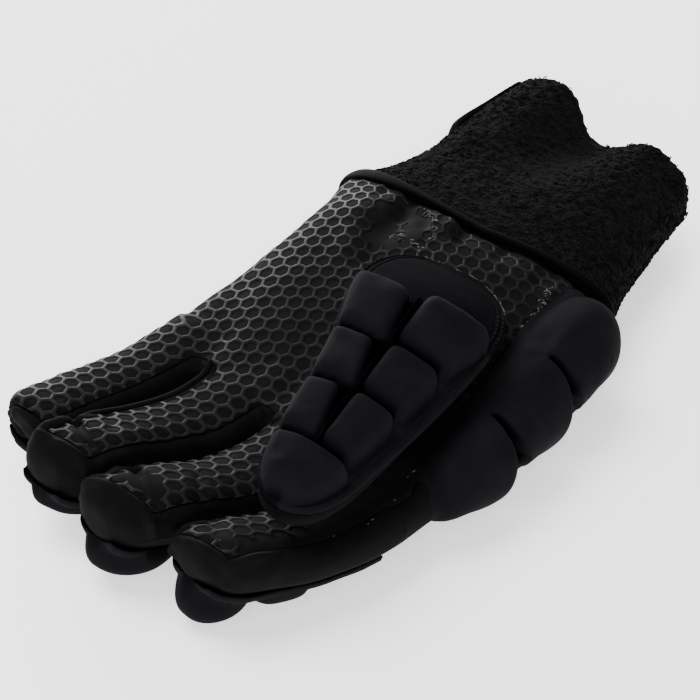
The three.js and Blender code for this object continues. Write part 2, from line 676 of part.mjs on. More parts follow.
// The lobed guard that wraps the thumb side of the hand.
function sideGuard() {
  const { top, topClimb, climbFrom, climbTo, bottom, from, to, gap } = SIDE_GUARD;
  const rows = blockLines(from, SIDE_LOBES, to, SIDE_WALL, ROUND_WALL);
  const angleAt = (y, share) => lerp(top - topClimb * smoothstep(y, climbFrom, climbTo), bottom, share);
  const outward = (y, angle) => {
    const step = 1;
    const along = handPointAt(y - step, angle).sub(handPointAt(y + step, angle));
    const round = handPointAt(y, angle + step).sub(handPointAt(y, angle - step));
    return along.cross(round).normalize();
  };
  const point = (row, column, lift) => {
    const angle = angleAt(row.at, column.at);
    return handPointAt(row.at, angle).addScaledVector(outward(row.at, angle), gap + lift);
  };
  const height = (row, column) => RIM + (row.rise ?? 0) * row.height * column.height;
  return slabGeometry(
    rows.map((row) => SIDE_SECTION.map((column) => point(row, column, 0))),
    rows.map((row) => SIDE_SECTION.map((column) => point(row, column, height(row, column)))),
  );
}

// A guard under the back of the hand or a finger. reach gives how low its blocks go at a line,
// and lean how far they move for each unit that they go down.
function underGuard(rows, columns, gap, skinPoint, reach, lean) {
  const top = (row, column) => skinPoint(row.at, column.at).add(vector(0, 0, -gap));
  const bottom = (row, column) => {
    const point = top(row, column);
    const border = point.z - RIM;
    const z = lerp(border, Math.min(border, reach(row)), row.height * column.height);
    return point.addScaledVector(lean(row), point.z - z).setZ(z);
  };
  return slabGeometry(
    rows.map((row) => columns.map((column) => top(row, column))),
    rows.map((row) => columns.map((column) => bottom(row, column))),
  );
}

function backGuard() {
  const { across, along, border, from, to, gap, wall, wallAcross } = BACK_BLOCKS;
  const rows = blockLines(from, along, to, wall, PLAIN_WALL);
  const columns = blockLines(-border, across, border, wallAcross, PLAIN_WALL);
  const back = (y, share) => handPoint(y, share, -1);
  return underGuard(rows, columns, gap, back, () => 0, () => vector(0, 0, 0));
}

function fingerGuard(finger) {
  const { span, block, from, to, depth, gap, wall, wallAcross } = FINGER_GUARD;
  const rows = blockLines(from, FINGER_LOBES, to, wall, ROUND_WALL);
  const columns = blockLines(-span, [{ from: -block, to: block }], span, wallAcross, ROUND_WALL, true);
  const endLobe = FINGER_LOBES[FINGER_LOBES.length - 1].from;
  const under = (share, across) => fingerPoint(finger, share, across, -1);
  const bottomAt = (row) => (row.at > endLobe ? finger.lobe : under(row.at, 0).z - gap - depth);
  const lean = (row) => vector(-rollAt(row.at), row.at > endLobe ? -LOBE_REACH : 0, 0);
  return underGuard(rows, columns, gap, under, bottomAt, lean);
}

// A point of the cuff by the angle round it, from the top towards the thumb side.
function cuffPoint(y, angle, lift) {
  const row = sample(CUFF, "y", y);
  const half = (row.right - row.left) / 2 + lift;
  const rise = (row.high - row.low) / 2 + lift;
  const across = signedPower(Math.sin(radians(angle)), 2 / SQUARENESS);
  const up = signedPower(Math.cos(radians(angle)), 2 / SQUARENESS);
  const x = (row.left + row.right) / 2 + half * across;
  const sag = row.dip * Math.exp(-(((x - SAG_X) / SAG_WIDTH) ** 2)) * Math.max(0, up);
  const { most, fromX, fullX, fromY, fullY } = CUFF_REACH;
  const reach = most * (1 - smoothstep(x, fullX, fromX)) * smoothstep(y, fromY, fullY);
  return vector(x, y + seamSwing(x, y) + reach, (row.low + row.high) / 2 + rise * up - sag);
}

// A point of the binding, which covers the end of the hand and the start of the cuff.
function bindingPoint(y, angle, lift) {
  if (y > WRIST_Y) return cuffPoint(y, angle, lift);
  const middle = handPointAt(y, 0).add(handPointAt(y, 180)).divideScalar(2);
  const point = handPointAt(y, angle);
  const out = point.clone().sub(middle).setY(0).normalize();
  return point.addScaledVector(out, lift);
}

// A band round the cuff or the wrist, as rings of points along y. It is open where it isn't closed.
function bandSkin(panel, ys, angles, closed, surface) {
  const skin = new Skin();
  ys.forEach((y, r) => angles.forEach((angle, s) => skin.point(`${r} ${s}`, surface(y, angle))));
  const count = closed ? angles.length : angles.length - 1;
  for (let r = 0; r < ys.length - 1; r++) {
    for (let s = 0; s < count; s++) {
      const t = (s + 1) % angles.length;
      skin.face(panel, `${r} ${s}`, `${r} ${t}`, `${r + 1} ${t}`, `${r + 1} ${s}`);
    }
  }
  return skin;
}

const spread = (from, to, count) =>
  Array.from({ length: count }, (_, i) => from + ((to - from) * i) / (count - 1));

const glove = new THREE.Group();

function add(name, slot, geometry) {
  const mesh = new THREE.Mesh(geometry, new THREE.MeshStandardMaterial(MATERIALS[slot]));
  mesh.name = name;
  glove.add(mesh);
}

const fabric = gloveSkin();
add("palm_panel", "palm_print", panelGeometry(fabric, "palm_panel", FABRIC));
add("back_panel", "stretch_fabric", panelGeometry(fabric, "back_panel", FABRIC));
for (const finger of FINGERS) {
  const sleeve = `${finger.name}_sleeve`;
  add(sleeve, "stretch_fabric", panelGeometry(fabric, sleeve, FABRIC));
  add(`${finger.name}_guard`, "guard_fabric", fingerGuard(finger));
}
add("thumb_sleeve", "stretch_fabric", panelGeometry(thumbSkin(), "thumb_sleeve", FABRIC));
add("thumb_guard", "guard_fabric", thumbGuard());
add("side_guard", "guard_fabric", sideGuard());
add("back_guard", "guard_fabric", backGuard());

const turn = (sides) => spread(0, 360, sides + 1).slice(0, sides);
const cuffSkin = bandSkin("cuff", CUFF_ROWS, turn(CUFF_SIDES), true, (y, angle) => cuffPoint(y, angle, 0));
add("cuff", "terry", panelGeometry(cuffSkin, "cuff", TERRY));
const bindingLift = BINDING.gap + BINDING.wall;
const bindingRows = spread(BINDING.from, BINDING.to, BINDING.rows);
const bindingSkin = bandSkin("binding", bindingRows, turn(BINDING.sides), true, (y, angle) =>
  bindingPoint(y, angle, bindingLift),
);
add("wrist_binding", "binding", panelGeometry(bindingSkin, "binding", BINDING.wall));
const strapWall = CUFF[CUFF.length - 1].low - SEAT - STRAP.clear;
const strapRows = spread(STRAP.from, STRAP.to, STRAP.rows);
const strapAngles = spread(STRAP.start, STRAP.end, STRAP.columns);
const strapSkin = bandSkin("strap", strapRows, strapAngles, false, (y, angle) =>
  cuffPoint(y, angle, SEAT + strapWall),
);
add("closure_strap", "strap", panelGeometry(strapSkin, "strap", strapWall));

// The part's origin is the middle of its box, at the surface it lies on.
const box = new THREE.Box3().setFromObject(glove);
const centre = box.getCenter(vector(0, 0, 0));
glove.position.set(-centre.x, -centre.y, -box.min.z);

export default glove;
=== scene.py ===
"""Looks of a padded indoor hockey glove for the left hand, empty and lying on its back, palm up.

Shapes are worked out in millimetres in the glove's own plan, with +X the thumb side, -Y the way the
fingers point and +Z up out of the palm. place() moves them into the row's frame in metres.
"""

import math

import bpy
import numpy as np
from mathutils import Matrix
from mathutils.bvhtree import BVHTree


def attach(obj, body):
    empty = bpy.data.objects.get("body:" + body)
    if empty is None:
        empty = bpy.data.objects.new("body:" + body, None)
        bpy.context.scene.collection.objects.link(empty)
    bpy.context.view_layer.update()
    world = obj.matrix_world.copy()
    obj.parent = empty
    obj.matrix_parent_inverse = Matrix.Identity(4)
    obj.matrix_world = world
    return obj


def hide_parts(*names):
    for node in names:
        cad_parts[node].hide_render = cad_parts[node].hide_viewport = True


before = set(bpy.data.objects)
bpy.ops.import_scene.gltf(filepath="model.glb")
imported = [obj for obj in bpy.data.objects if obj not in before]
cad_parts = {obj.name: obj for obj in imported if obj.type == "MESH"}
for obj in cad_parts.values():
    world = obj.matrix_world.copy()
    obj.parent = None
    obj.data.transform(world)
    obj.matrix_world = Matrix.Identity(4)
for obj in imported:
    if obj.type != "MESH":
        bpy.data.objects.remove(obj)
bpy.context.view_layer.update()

ORIGIN = np.array([-8.12, -20.84, 0.0])  # where the plan's origin lies in the row's frame, mm
SQUARENESS = 2.6  # of the sections of hand, fingers and cuff: 2 would be an ellipse

# Tables: the same sections as the solids


class Table:
    """Rows of numbers that are read between the rows along a smooth cubic of the first column."""

    def __init__(self, columns, rows):
        self.columns = columns.split()
        rows = np.array(rows, float)
        self.rows = rows[np.argsort(rows[:, 0])]
        ends = np.vstack([self.rows[:1], self.rows, self.rows[-1:]])
        self.slopes = (ends[2:] - ends[:-2]) / (ends[2:, :1] - ends[:-2, :1])

    def __call__(self, at, names):
        keys = self.rows[:, 0]
        i = np.clip(np.searchsorted(keys, at, side="right") - 1, 0, len(keys) - 2)
        step = keys[i + 1] - keys[i]
        t = np.clip((at - keys[i]) / step, 0, 1)
        h0, h1 = 2 * t**3 - 3 * t**2 + 1, t**3 - 2 * t**2 + t
        h2, h3 = 3 * t**2 - 2 * t**3, t**3 - t**2
        out = []
        for name in names.split():
            c = self.columns.index(name)
            value, slope = self.rows[:, c], self.slopes[:, c]
            out.append(value[i] * h0 + slope[i] * step * h1 + value[i + 1] * h2 + slope[i + 1] * step * h3)
        return out


# edge is the share of the half width where the print ends, and lean lifts the palm's little finger side.
HAND = Table("y left right low high edge lean", [
    (57, -54.4, 46, 6, 38, 0.8, 0.3),
    (51, -51.9, 47, 7, 39.4, 0.8, 0.8),
    (44, -48.6, 48.5, 8, 40.4, 0.8, 1.2),
    (33, -46, 50.5, 9.5, 40, 0.8, 1.6),
    (20, -44.6, 53, 10.5, 38, 0.8, 1.6),
    (7, -44, 55.5, 11, 35.5, 0.82, 1.4),
    (-6, -43.7, 57.5, 11, 33, 0.84, 1.2),
    (-19, -44, 60, 10.5, 30.5, 0.88, 0.8),
    (-31, -45, 63, 10, 28.5, 0.93, 0.2),
])
# A finger's tip and how far it leans back; where its print ends, that end's slant and the shares across
# where its sides are; the floor, half width and middle of its guard's end lobe, the depths of the first
# and second block, and how far the rim stands out; then its sections.
FINGERS = [
    dict(zip("name tip tilt printed slope left right lobe lobe_half lobe_x first second lip".split(), sizes),
         rows=Table("y x half low high", rows))
    for sizes, rows in [
        (("little_finger", -88, 0.2, 0.955, 0.02, -9, 0.7, 11.5, 0.9, 0.06, 5, 5, 0.2),
         [(-31, -33.4, 11.8, 10, 28), (-48, -34.7, 11, 9.5, 27), (-62, -35.9, 11.2, 10, 28.5),
          (-76, -36.2, 11.4, 11.5, 31.5), (-88, -35.9, 11.5, 15, 33.5)]),
        (("ring_finger", -96, 0, 0.885, 0.02, -0.62, 0.74, 10.8, 0.92, 0, 5, 5, 1.4),
         [(-31, -6, 13.5, 10, 28.5), (-48, -6.6, 12.8, 9.5, 27.5), (-62, -9.4, 12, 10, 30),
          (-76, -12.4, 11.6, 12.5, 34.5), (-96, -16, 11.2, 17.5, 37.5)]),
        (("middle_finger", -98, 0, 0.87, 0.03, -0.8, 0.84, 5.2, 0.92, 0.02, 5, 5, 0.7),
         [(-31, 21.8, 13, 10, 28.5), (-48, 21.2, 12.7, 9.5, 27.5), (-62, 18.6, 12.2, 10, 29),
          (-76, 14.2, 12, 12.5, 33.5), (-98, 9, 11.6, 17.5, 37.5)]),
        (("index_finger", -90, 0, 0.93, 0.03, -0.84, 0.6, 2.2, 0.72, -0.1, 2.3, 8.8, 1),
         [(-31, 49.3, 13.6, 10.5, 28), (-48, 49.4, 13.6, 11.5, 28), (-62, 47.6, 13.2, 12.5, 29),
          (-76, 42.8, 12.6, 14.5, 32), (-92, 37.6, 12, 18.5, 35)]),
    ]
]
# Marks lie along short lines, each from x, y to x, y. Folds of the palm and creases of the fingers go on
# with half width and depth, places where the print is left out with a radius, and places where the print is
# rubbed off and where it is painted darker as shade, with reach and strength.
FOLDS = [
    (-25, 58, -19, 46, 3.2, 2.4), (-20, 37, -11, 25, 6.0, 2.8), (-19, 48, -15, 40, 5.0, 1.4),
    (-14, 50, -8, 46, 3.0, 1.2), (-8, 57, -3, 51, 2.6, -1.5), (-19, 57.6, 46, 57.6, 2.4, 2.4),
    (-50, 57.6, -22, 57.6, 1.8, 1.2), (-33, 57, -31, 50, 2.2, 0.9), (-14, 57, -6, 46, 1.8, -0.9),
    (-3, 57, 3, 48, 2.6, 1.3), (12, 57, 17, 49, 2.4, 0.9), (27, 58, 31, 47, 3.0, 1.2),
    (-30, 30, -24, 18, 4.0, 0.5), (-34, -4, -30, -22, 5.0, 0.6), (-24, -24, -21, -33, 3.0, 1.0),
    (6, -20, 8, -33, 3.4, 1.0),
]
CREASES = [
    (-24, -79, -9, -84, 1.3, 1.5), (3, -80, 20, -85.5, 1.3, 1.5), (-23, -79.5, -6, -86, 2.0, 0.7),
    (4, -81, 18, -87, 2.0, 0.7), (-19, -71, -12, -74.5, 1.6, 0.8), (18, -70, 24, -74, 1.6, 0.7),
    (32, -78, 42, -84, 1.8, 0.9), (-44, -72, -34, -76, 1.8, 0.5), (-20, -90, -8, -93, 2.2, 0.5),
    (10, -91, 18, -94, 2.2, 0.5),
]
BARE = [
    (-50, 58, -28, 60, 3.4), (-28, 60, -19, 58.5, 4.2), (-22, 57, -19.5, 47.5, 2.2),
    (-19, 58.5, 6, 58.5, 5.0), (6, 58.5, 20, 60, 4.2), (20, 60, 46, 67, 3.2),
    (-23, -34, -25.5, -42, 2.6), (-21.5, -32, -20.5, -36, 2.2), (7, -38, 6, -44, 3.0),
    (35, -38, 34, -44, 3.0), (-24, -79, -6, -85, 1.1), (3, -80, 20, -85.5, 0.9),
]
WORN_AND_SHADED = [
    (-23, 44, -16, 35, 6.0, 1.35), (-16, 35, -9, 32, 4.0, 1.0), (-20, 48, -10, 47, 4.5, 1.3),
    (-12, 46, -7, 38, 5.0, 1.25), (-4, 49, 3, 46, 4.0, 0.8), (4, 48, 12, 44, 5.0, 0.45),
    (30, 43, 42, 40, 6.0, 0.55), (34, 48, 44, 52, 3.5, 0.5), (-12, 8, -4, -14, 9.0, 0.4),
    (-1, 24, 2, 0, 4.0, 0.35), (50, -10, 54, -34, 7.5, 1.4), (54, -34, 53, -56, 8.0, 1.4),
    (54, -56, 48, -78, 5.5, 1.0),
]
FLECK_LINES = [  # seams along which cut print shows: points in the plan, and how many flecks
    ([(34.5, 54), (36.4, 49.6), (38.4, 43.5), (39.6, 37.4), (41.5, 31), (43.4, 24.6)], 50),
    ([(-16, 53.5), (-11.5, 51), (-7.5, 48.5), (-4, 44.5), (-2, 40)], 26),
    ([(-14, 36), (-9, 37), (-3, 36), (4, 37)], 22),
    ([(52, -20), (57, -33), (59, -45), (56, -57)], 7),
]
KNUCKLE_Y, KNUCKLE_SLANT, KNUCKLE_X = -31, 0.07, -35.5
WRIST_Y, WRIST_SLANT, SLANT_X, SLANT_REACH = 57, 0.24, 4, 28
PANEL_END = 58.6  # y of the panels' ends at the wrist
WEBS = [(-20.5, 3.0), (7.5, 3.0), (35.5, 4)]  # x and reach of the webs between the fingers
TIP_FROM, TIP_POWER = 0.82, 2.9
FINGER_ROLL, ROLL_FROM, LOBE_REACH = 0.14, 0.4, 0.3
PANEL, TERRY = 1.3, 3  # thickness of the sewn fabric and of the towelling

THUMB = Table("ring x near_y near_z far_y far_z half power yaw roll", [
    (0, 24, -6, 33, 21, 39, 18.5, 4, 0, 0),
    (1, 25, -8, 35.4, 20, 43.4, 18, 3.6, 3, 1),
    (2, 27.5, -10, 36.4, 13, 48, 18.5, 3, 6, 4),
    (3, 30.5, -14, 36.6, 3, 52, 18.5, 2.7, 10, 6),
    (4, 34.3, -20, 36, -13, 50.4, 17.6, 2.5, 14, 8),
    (5, 37.6, -30, 35, -27, 48, 16.4, 2.5, 15.6, 8),
    (6, 41.9, -45, 34, -44, 46.2, 14.4, 2.5, 15.6, 8),
    (7, 45.5, -58, 34, -58, 45, 12, 2.5, 15.6, 8),
    (8, 47.7, -66, 34.6, -66, 44, 8.6, 2.3, 15.6, 8),
    (9, 48.9, -70, 36.6, -70, 41.8, 4.4, 2.1, 15.6, 8),
    (9.6, 49.4, -71.8, 39, -71.8, 39.4, 0.2, 2.1, 15.6, 8),
])
THUMB_AXIS_X, THUMB_AXIS_Y, THUMB_YAW, GUARD_ROLL = 24.6, 24.4, 15.6, 9
THUMB_GUARD = Table("along z left right arch", [
    (-9.6, 42, 6, 0.5, 0.4),
    (-8.6, 42.6, 14, 3, 0.6),
    (-5, 44.2, 20, 9.4, 1.3),
    (2, 47.6, 23.4, 15.8, 2.4),
    (14, 52, 24.2, 21.2, 4),
    (26, 53.8, 22.2, 22.4, 4.4),
    (42, 52, 18.4, 21, 4),
    (62, 49.4, 15.4, 17.8, 3.6),
    (82, 47.4, 13.2, 14.2, 3),
    (91, 46.5, 11.4, 11.8, 2.4),
    (96.5, 45.8, 8.4, 8.6, 1.6),
    (99.6, 45.3, 4.8, 4.8, 0.8),
    (101, 45.1, 0.8, 0.8, 0.4),
])
# Thickness of a guard's rim, its rounding's radius, a block's rise over the rim, and the seat on the skin.
RIM, RIM_RADIUS, BLOCK_RISE, SEAT = 2, 1.4, 8.1, 0.6
THUMB_BLOCKS = [  # right block's start and end along the guard, left one's, and how far that one slants
    (21.3, 42.1, 21.6, 42.4, 3.0),
    (43.6, 61.2, 43.9, 61.6, 1.6),
    (62.7, 82.4, 63.1, 82.6, 0.4),
]
THUMB_TIP_BLOCK = (84.4, 99.4)
THUMB_SEAMS = [(1.75, 1), (3.4, 0.8)]  # how far inside the border each of its seams is, and how deep
# The side guard's ends along y and its span round the hand, in degrees from the top.
SIDE_START, SIDE_END, SIDE_FROM, SIDE_TO = 53, -27, 47.5, 131
# Where the lobes' outer faces are flatter: middle and reach along y, middle and reach round the guard, depth.
SIDE_FLATS = [(40.5, 6.8, 0.36, 0.27, 4.4), (14, 8.5, 0.32, 0.2, 2.3), (-18, 5.5, 0.32, 0.24, 1.5)]
# The two slits of the side guard: the y of each, and how far its edges are from that, by the place
# round the guard from its upper edge, -1, to its lower one, 1.
SIDE_SLITS = [
    (26.9, Table("w near far", [(-1, 0.8, 0.7), (-0.5, 0.8, 0.7), (-0.25, 2, 1.2), (0, 3.1, 3.4),
                                (0.25, 3.2, 6), (0.6, 3.2, 9.6), (1, 3.2, 10)])),
    (0.9, Table("w near far", [(-1, 0.7, 0.6), (-0.5, 0.7, 0.6), (-0.25, 2, 1), (0, 2.7, 3.6),
                               (0.25, 2.5, 6), (0.6, 2.1, 9.4), (1, 2, 10)])),
]
SLIT_TOP, SLIT_MARGIN, WARP_NEAR, WARP_FAR = 2.2, 0.6, 12, 13
CUFF = Table("y left right low high dip", [
    (57.4, -54, 46, 5.6, 38, 0),
    (64, -53, 44.4, 4.7, 38.3, 0),
    (71, -50.6, 42.6, 4, 38, 0),
    (85, -48.5, 38, 3, 38, 1.5),
    (100, -50.5, 33.6, 2.6, 38, 5),
    (116, -52.4, 29, 2.6, 38.4, 9.5),
    (134, -52.6, 24.8, 2.6, 38.6, 13.4),
])
SAG_X, SAG_WIDTH, CUFF_REACH = -12, 15, 6
CUFF_START, CUFF_END, BINDING_Y = 58.4, 134, 57.8


def power(value, exponent):
    return np.sign(value) * np.abs(value) ** exponent


def smooth(edge0, edge1, x):
    t = np.clip((x - edge0) / (edge1 - edge0), 0, 1)
    return t * t * (3 - 2 * t)


def bell(away, width):
    return np.exp(-((away / width) ** 2))


def unit(vectors):
    return vectors / np.maximum(np.linalg.norm(vectors, axis=-1, keepdims=True), 1e-9)


def centred(value, start, end):
    """A value as a share, from -1 at start to 1 at end."""
    return (value - (start + end) / 2) / ((end - start) / 2)


def crown_at(u, most=1.0):
    """How high the edge of a section is at a share of its half width."""
    return (1 - np.minimum(np.abs(u), most) ** SQUARENESS) ** (1 / SQUARENESS)


def edge_at(angle, squareness=SQUARENESS):
    """The shares across and up of a section's edge at an angle from its top."""
    return power(np.sin(angle), 2 / squareness), power(np.cos(angle), 2 / squareness)


def span(*axes):
    """Grids over two axes, each an array or its first value, its last and how many."""
    return np.meshgrid(*(a if isinstance(a, np.ndarray) else np.linspace(*a) for a in axes), indexing="ij")


def around(count):
    return np.linspace(0, 2 * np.pi, count + 1)[:-1]


def knuckle_y(x):
    return KNUCKLE_Y - KNUCKLE_SLANT * (x - KNUCKLE_X)


def seam_swing(x, y):
    fade = np.maximum(0, 1 - np.abs(y - WRIST_Y) / SLANT_REACH)
    return WRIST_SLANT * np.maximum(0, x - SLANT_X) * fade


def roll_at(share):
    return FINGER_ROLL * np.clip(share / ROLL_FROM, 0, 1)


for finger in FINGERS:
    finger["root_x"] = finger["rows"](KNUCKLE_Y, "x")[0]
    finger["root"] = knuckle_y(finger["root_x"])

# Meshes


def place(points):
    return (np.asarray(points, float) + ORIGIN) * 0.001


def add(name, data):
    obj = bpy.data.objects.new(name, data)
    bpy.context.scene.collection.objects.link(obj)
    return obj


def make(name, points, faces, look, replaces=True, padded=False):
    """A mesh object from points in plan millimetres and one or more arrays of face corners."""
    material, slot = LOOKS[look]
    mesh = bpy.data.meshes.new(name)
    points = place(points)
    faces = faces if isinstance(faces, list) else [faces]
    corners = np.concatenate([f.ravel() for f in faces]).astype(np.int32)
    sizes = np.concatenate([np.full(len(f), f.shape[1], dtype=np.int32) for f in faces])
    mesh.vertices.add(len(points))
    mesh.vertices.foreach_set("co", points.ravel())
    mesh.loops.add(len(corners))
    mesh.loops.foreach_set("vertex_index", corners)
    mesh.polygons.add(len(sizes))
    mesh.polygons.foreach_set("loop_start", (np.cumsum(sizes) - sizes).astype(np.int32))
    mesh.polygons.foreach_set("loop_total", sizes)
    mesh.polygons.foreach_set("use_smooth", np.ones(len(sizes), dtype=bool))
    mesh.update()
    mesh.validate()
    obj = add(name, mesh)
    mesh.materials.append(material)
    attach(obj, "root")
    if replaces:
        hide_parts(name)
    return obj


def paint(obj, name, values):
    """A number for each point of a mesh, which its material reads."""
    values = np.asarray(values, dtype=np.float32)
    obj.data.attributes.new(name, "FLOAT", "POINT").data.foreach_set("value", values)


def shade(obj, dark):
    """Paints shade on the upper grid of a slab's points, by a share for each. The lower grid is painted black
    as shade.
    """
    paint(obj, "dark", np.concatenate([np.ones(dark.size), dark.ravel()]))


def edges_of(tris):
    return np.concatenate([tris[:, [0, 1]], tris[:, [1, 2]], tris[:, [2, 0]]])


def vertex_normals(points, tris):
    a, b, c = (points[tris[:, i]] for i in range(3))
    face = np.cross(b - a, c - a)
    total = np.zeros_like(points)
    for i in range(3):
        np.add.at(total, tris[:, i], face)
    return unit(total)


def grid_normals(grid, wrap=False):
    """Unit normals of a grid of points, by central differences."""
    du = np.gradient(grid, axis=0)
    dv = np.roll(grid, -1, 1) - np.roll(grid, 1, 1) if wrap else np.gradient(grid, axis=1)
    return unit(np.cross(du, dv))


def grid_quads(rows, columns, wrap=False):
    i = np.arange(rows - 1)[:, None] * columns
    j = np.arange(columns if wrap else columns - 1)[None]
    k = (j + 1) % columns
    return np.stack([i + j, i + k, i + columns + k, i + columns + j], -1).reshape(-1, 4)


def outward(points, faces):
    """A closed solid of quads with its faces turned out."""
    a, b, c, d = (points[faces[:, i]] for i in range(4))
    volume = np.einsum("ij,ij->i", a, np.cross(b, c) + np.cross(c, d)).sum()
    return points, (faces[:, ::-1] if volume < 0 else faces)


def slab(lower, upper):
    """Points and quads of a closed solid between two grids of rows by columns by 3."""
    rows, columns = lower.shape[:2]
    count = rows * columns
    quads = grid_quads(rows, columns)
    index = np.arange(count).reshape(rows, columns)
    rim = np.concatenate([index[0, :-1], index[:-1, -1], index[-1, :0:-1], index[:0:-1, 0]])
    after = np.roll(rim, -1)
    sides = np.stack([after, rim, rim + count, after + count], 1)
    points = np.concatenate([lower.reshape(-1, 3), upper.reshape(-1, 3)])
    return outward(points, np.concatenate([quads, quads[:, ::-1] + count, sides]))


def tube(outer, inner):
    """Points and quads of a closed wall between two grids that wrap along their columns. Both have
    the same columns, and each its own number of rows."""
    columns = outer.shape[1]
    count = outer.shape[0] * columns
    start = np.arange(columns)
    end, after = start + count - columns, np.roll(start, -1)
    start_in, end_in = start + count, start + count + (inner.shape[0] - 1) * columns
    lips = [
        np.stack([start, start_in, start_in[after], start[after]], 1),
        np.stack([end[after], end_in[after], end_in, end], 1),
    ]
    points = np.concatenate([outer.reshape(-1, 3), inner.reshape(-1, 3)])
    inside = grid_quads(inner.shape[0], columns, wrap=True)[:, ::-1] + count
    return outward(points, np.concatenate([grid_quads(outer.shape[0], columns, wrap=True), inside, *lips]))


def strings(name, rings, look):
    """Closed solids as one piece, from an array of solids by rings by sides by 3."""
    count, rows, sides = rings.shape[:3]
    ends = np.stack([np.arange(sides)[::-1], np.arange(sides) + (rows - 1) * sides])
    base = (np.arange(count) * rows * sides)[:, None, None]
    faces = [(base + f[None]).reshape(-1, f.shape[1]) for f in (grid_quads(rows, sides, wrap=True), ends)]
    return make(name, rings.reshape(-1, 3), faces, look, replaces=False)


def ring(middle, side, up, radius, sides, flat=1.0):
    """Points round each middle, in the plane of side and up."""
    turn = np.arange(sides) * 2 * np.pi / sides
    radius = np.broadcast_to(radius, (len(middle),))[:, None]
    across, over = (np.cos(turn) * radius)[..., None], (np.sin(turn) * flat * radius)[..., None]
    return middle[:, None] + side[:, None] * across + up[:, None] * over


def surface_nets(field, low):
    """The zero surface of a field on a grid of 1 mm steps, as points and quads that face outwards. It
    has to stay clear of the grid's border."""
    sums, hits, quads = np.zeros((field.size, 3)), np.zeros(field.size), []
    for axis in range(3):
        a, b = (np.take(field, range(k, k + field.shape[axis] - 1), axis) for k in (0, 1))
        where = np.argwhere((a < 0) != (b < 0))
        a, b = a[tuple(where.T)], b[tuple(where.T)]
        crossing = where + np.outer(a / (a - b), np.eye(3)[axis])
        quad = []
        for shift in ((-1, -1), (0, -1), (0, 0), (-1, 0)):
            cell = where.copy()
            cell[:, [(axis + 1) % 3, (axis + 2) % 3]] += shift
            quad.append(np.ravel_multi_index(cell.T, field.shape))
            np.add.at(sums, quad[-1], crossing)
            np.add.at(hits, quad[-1], 1)
        quad = np.stack(quad, 1)
        quads.append(np.where(a[:, None] < 0, quad, quad[:, ::-1]))
    used, quads = np.unique(np.concatenate(quads), return_inverse=True)
    return low + sums[used] / hits[used, None], quads.reshape(-1, 4)


def smoothed(points, tris, factors, weight=1.0):
    """Points drawn towards the middle of their neighbours once for each factor, or away for one under 0."""
    pairs = np.unique(np.sort(edges_of(tris), 1), axis=0)
    count = np.bincount(pairs.ravel(), minlength=len(points))[:, None]
    for factor in factors:
        total = np.zeros_like(points)
        np.add.at(total, pairs[:, 0], points[pairs[:, 1]])
        np.add.at(total, pairs[:, 1], points[pairs[:, 0]])
        points = points + factor * (total / count - points) * weight
    return points


def clip(data, tris, value):
    """The part of a triangle mesh where value is over 0. data is a row of numbers for each point."""
    count = len(value)
    sign = (value > 0)[tris]
    ones = sign.sum(1)

    def cut(a, b):
        """Stands for the point where an edge is cut, until these are numbered."""
        return -1 - (np.minimum(a, b) * count + np.maximum(a, b))

    kept = [tris[ones == 3]]
    for wanted in (1, 2):
        some, flags = tris[ones == wanted], sign[ones == wanted]
        odd = np.argmax(flags == (wanted == 1), 1)
        a, b, c = (some[np.arange(len(some)), (odd + i) % 3] for i in range(3))
        ab, ca = cut(a, b), cut(c, a)
        kept += [np.stack(t, 1) for t in ([(a, ab, ca)] if wanted == 1 else [(ab, b, c), (ab, c, ca)])]
    kept = np.concatenate(kept)
    new = kept < 0
    keys = np.unique(-1 - kept[new])
    kept[new] = count + np.searchsorted(keys, -1 - kept[new])
    a, b = keys // count, keys % count
    t = (value[a] / (value[a] - value[b]))[:, None]
    used, inverse = np.unique(kept, return_inverse=True)
    return np.concatenate([data, data[a] * (1 - t) + data[b] * t])[used], inverse.reshape(kept.shape)


def shell(points, normals, tris, wall):
    """Points and triangles of a wall that goes inwards from a sheet."""
    count = len(points)
    edges = edges_of(tris)
    a, b = edges[~np.isin(edges @ [count, 1], edges @ [1, count])].T
    sides = [np.stack([b, a, a + count], 1), np.stack([b, a + count, b + count], 1)]
    points = np.concatenate([points, points - wall * normals])
    return points, np.concatenate([tris, tris[:, ::-1] + count, *sides])


def value_noise(points, scale, seed):
    """Smooth noise from -1 to 1 at points, by a seeded lattice."""
    lattice = np.random.default_rng(seed).uniform(-1, 1, (32, 32, 32))
    p = points / scale
    base = np.floor(p).astype(int)
    f = p - base
    f = f * f * (3 - 2 * f)
    total = 0
    for corner in range(8):
        o = np.array([corner & 1, corner >> 1 & 1, corner >> 2 & 1])
        index = (base + o) % 32
        total = total + np.prod(np.where(o, f, 1 - f), -1) * lattice[tuple(np.moveaxis(index, -1, 0))]
    return total


# Materials


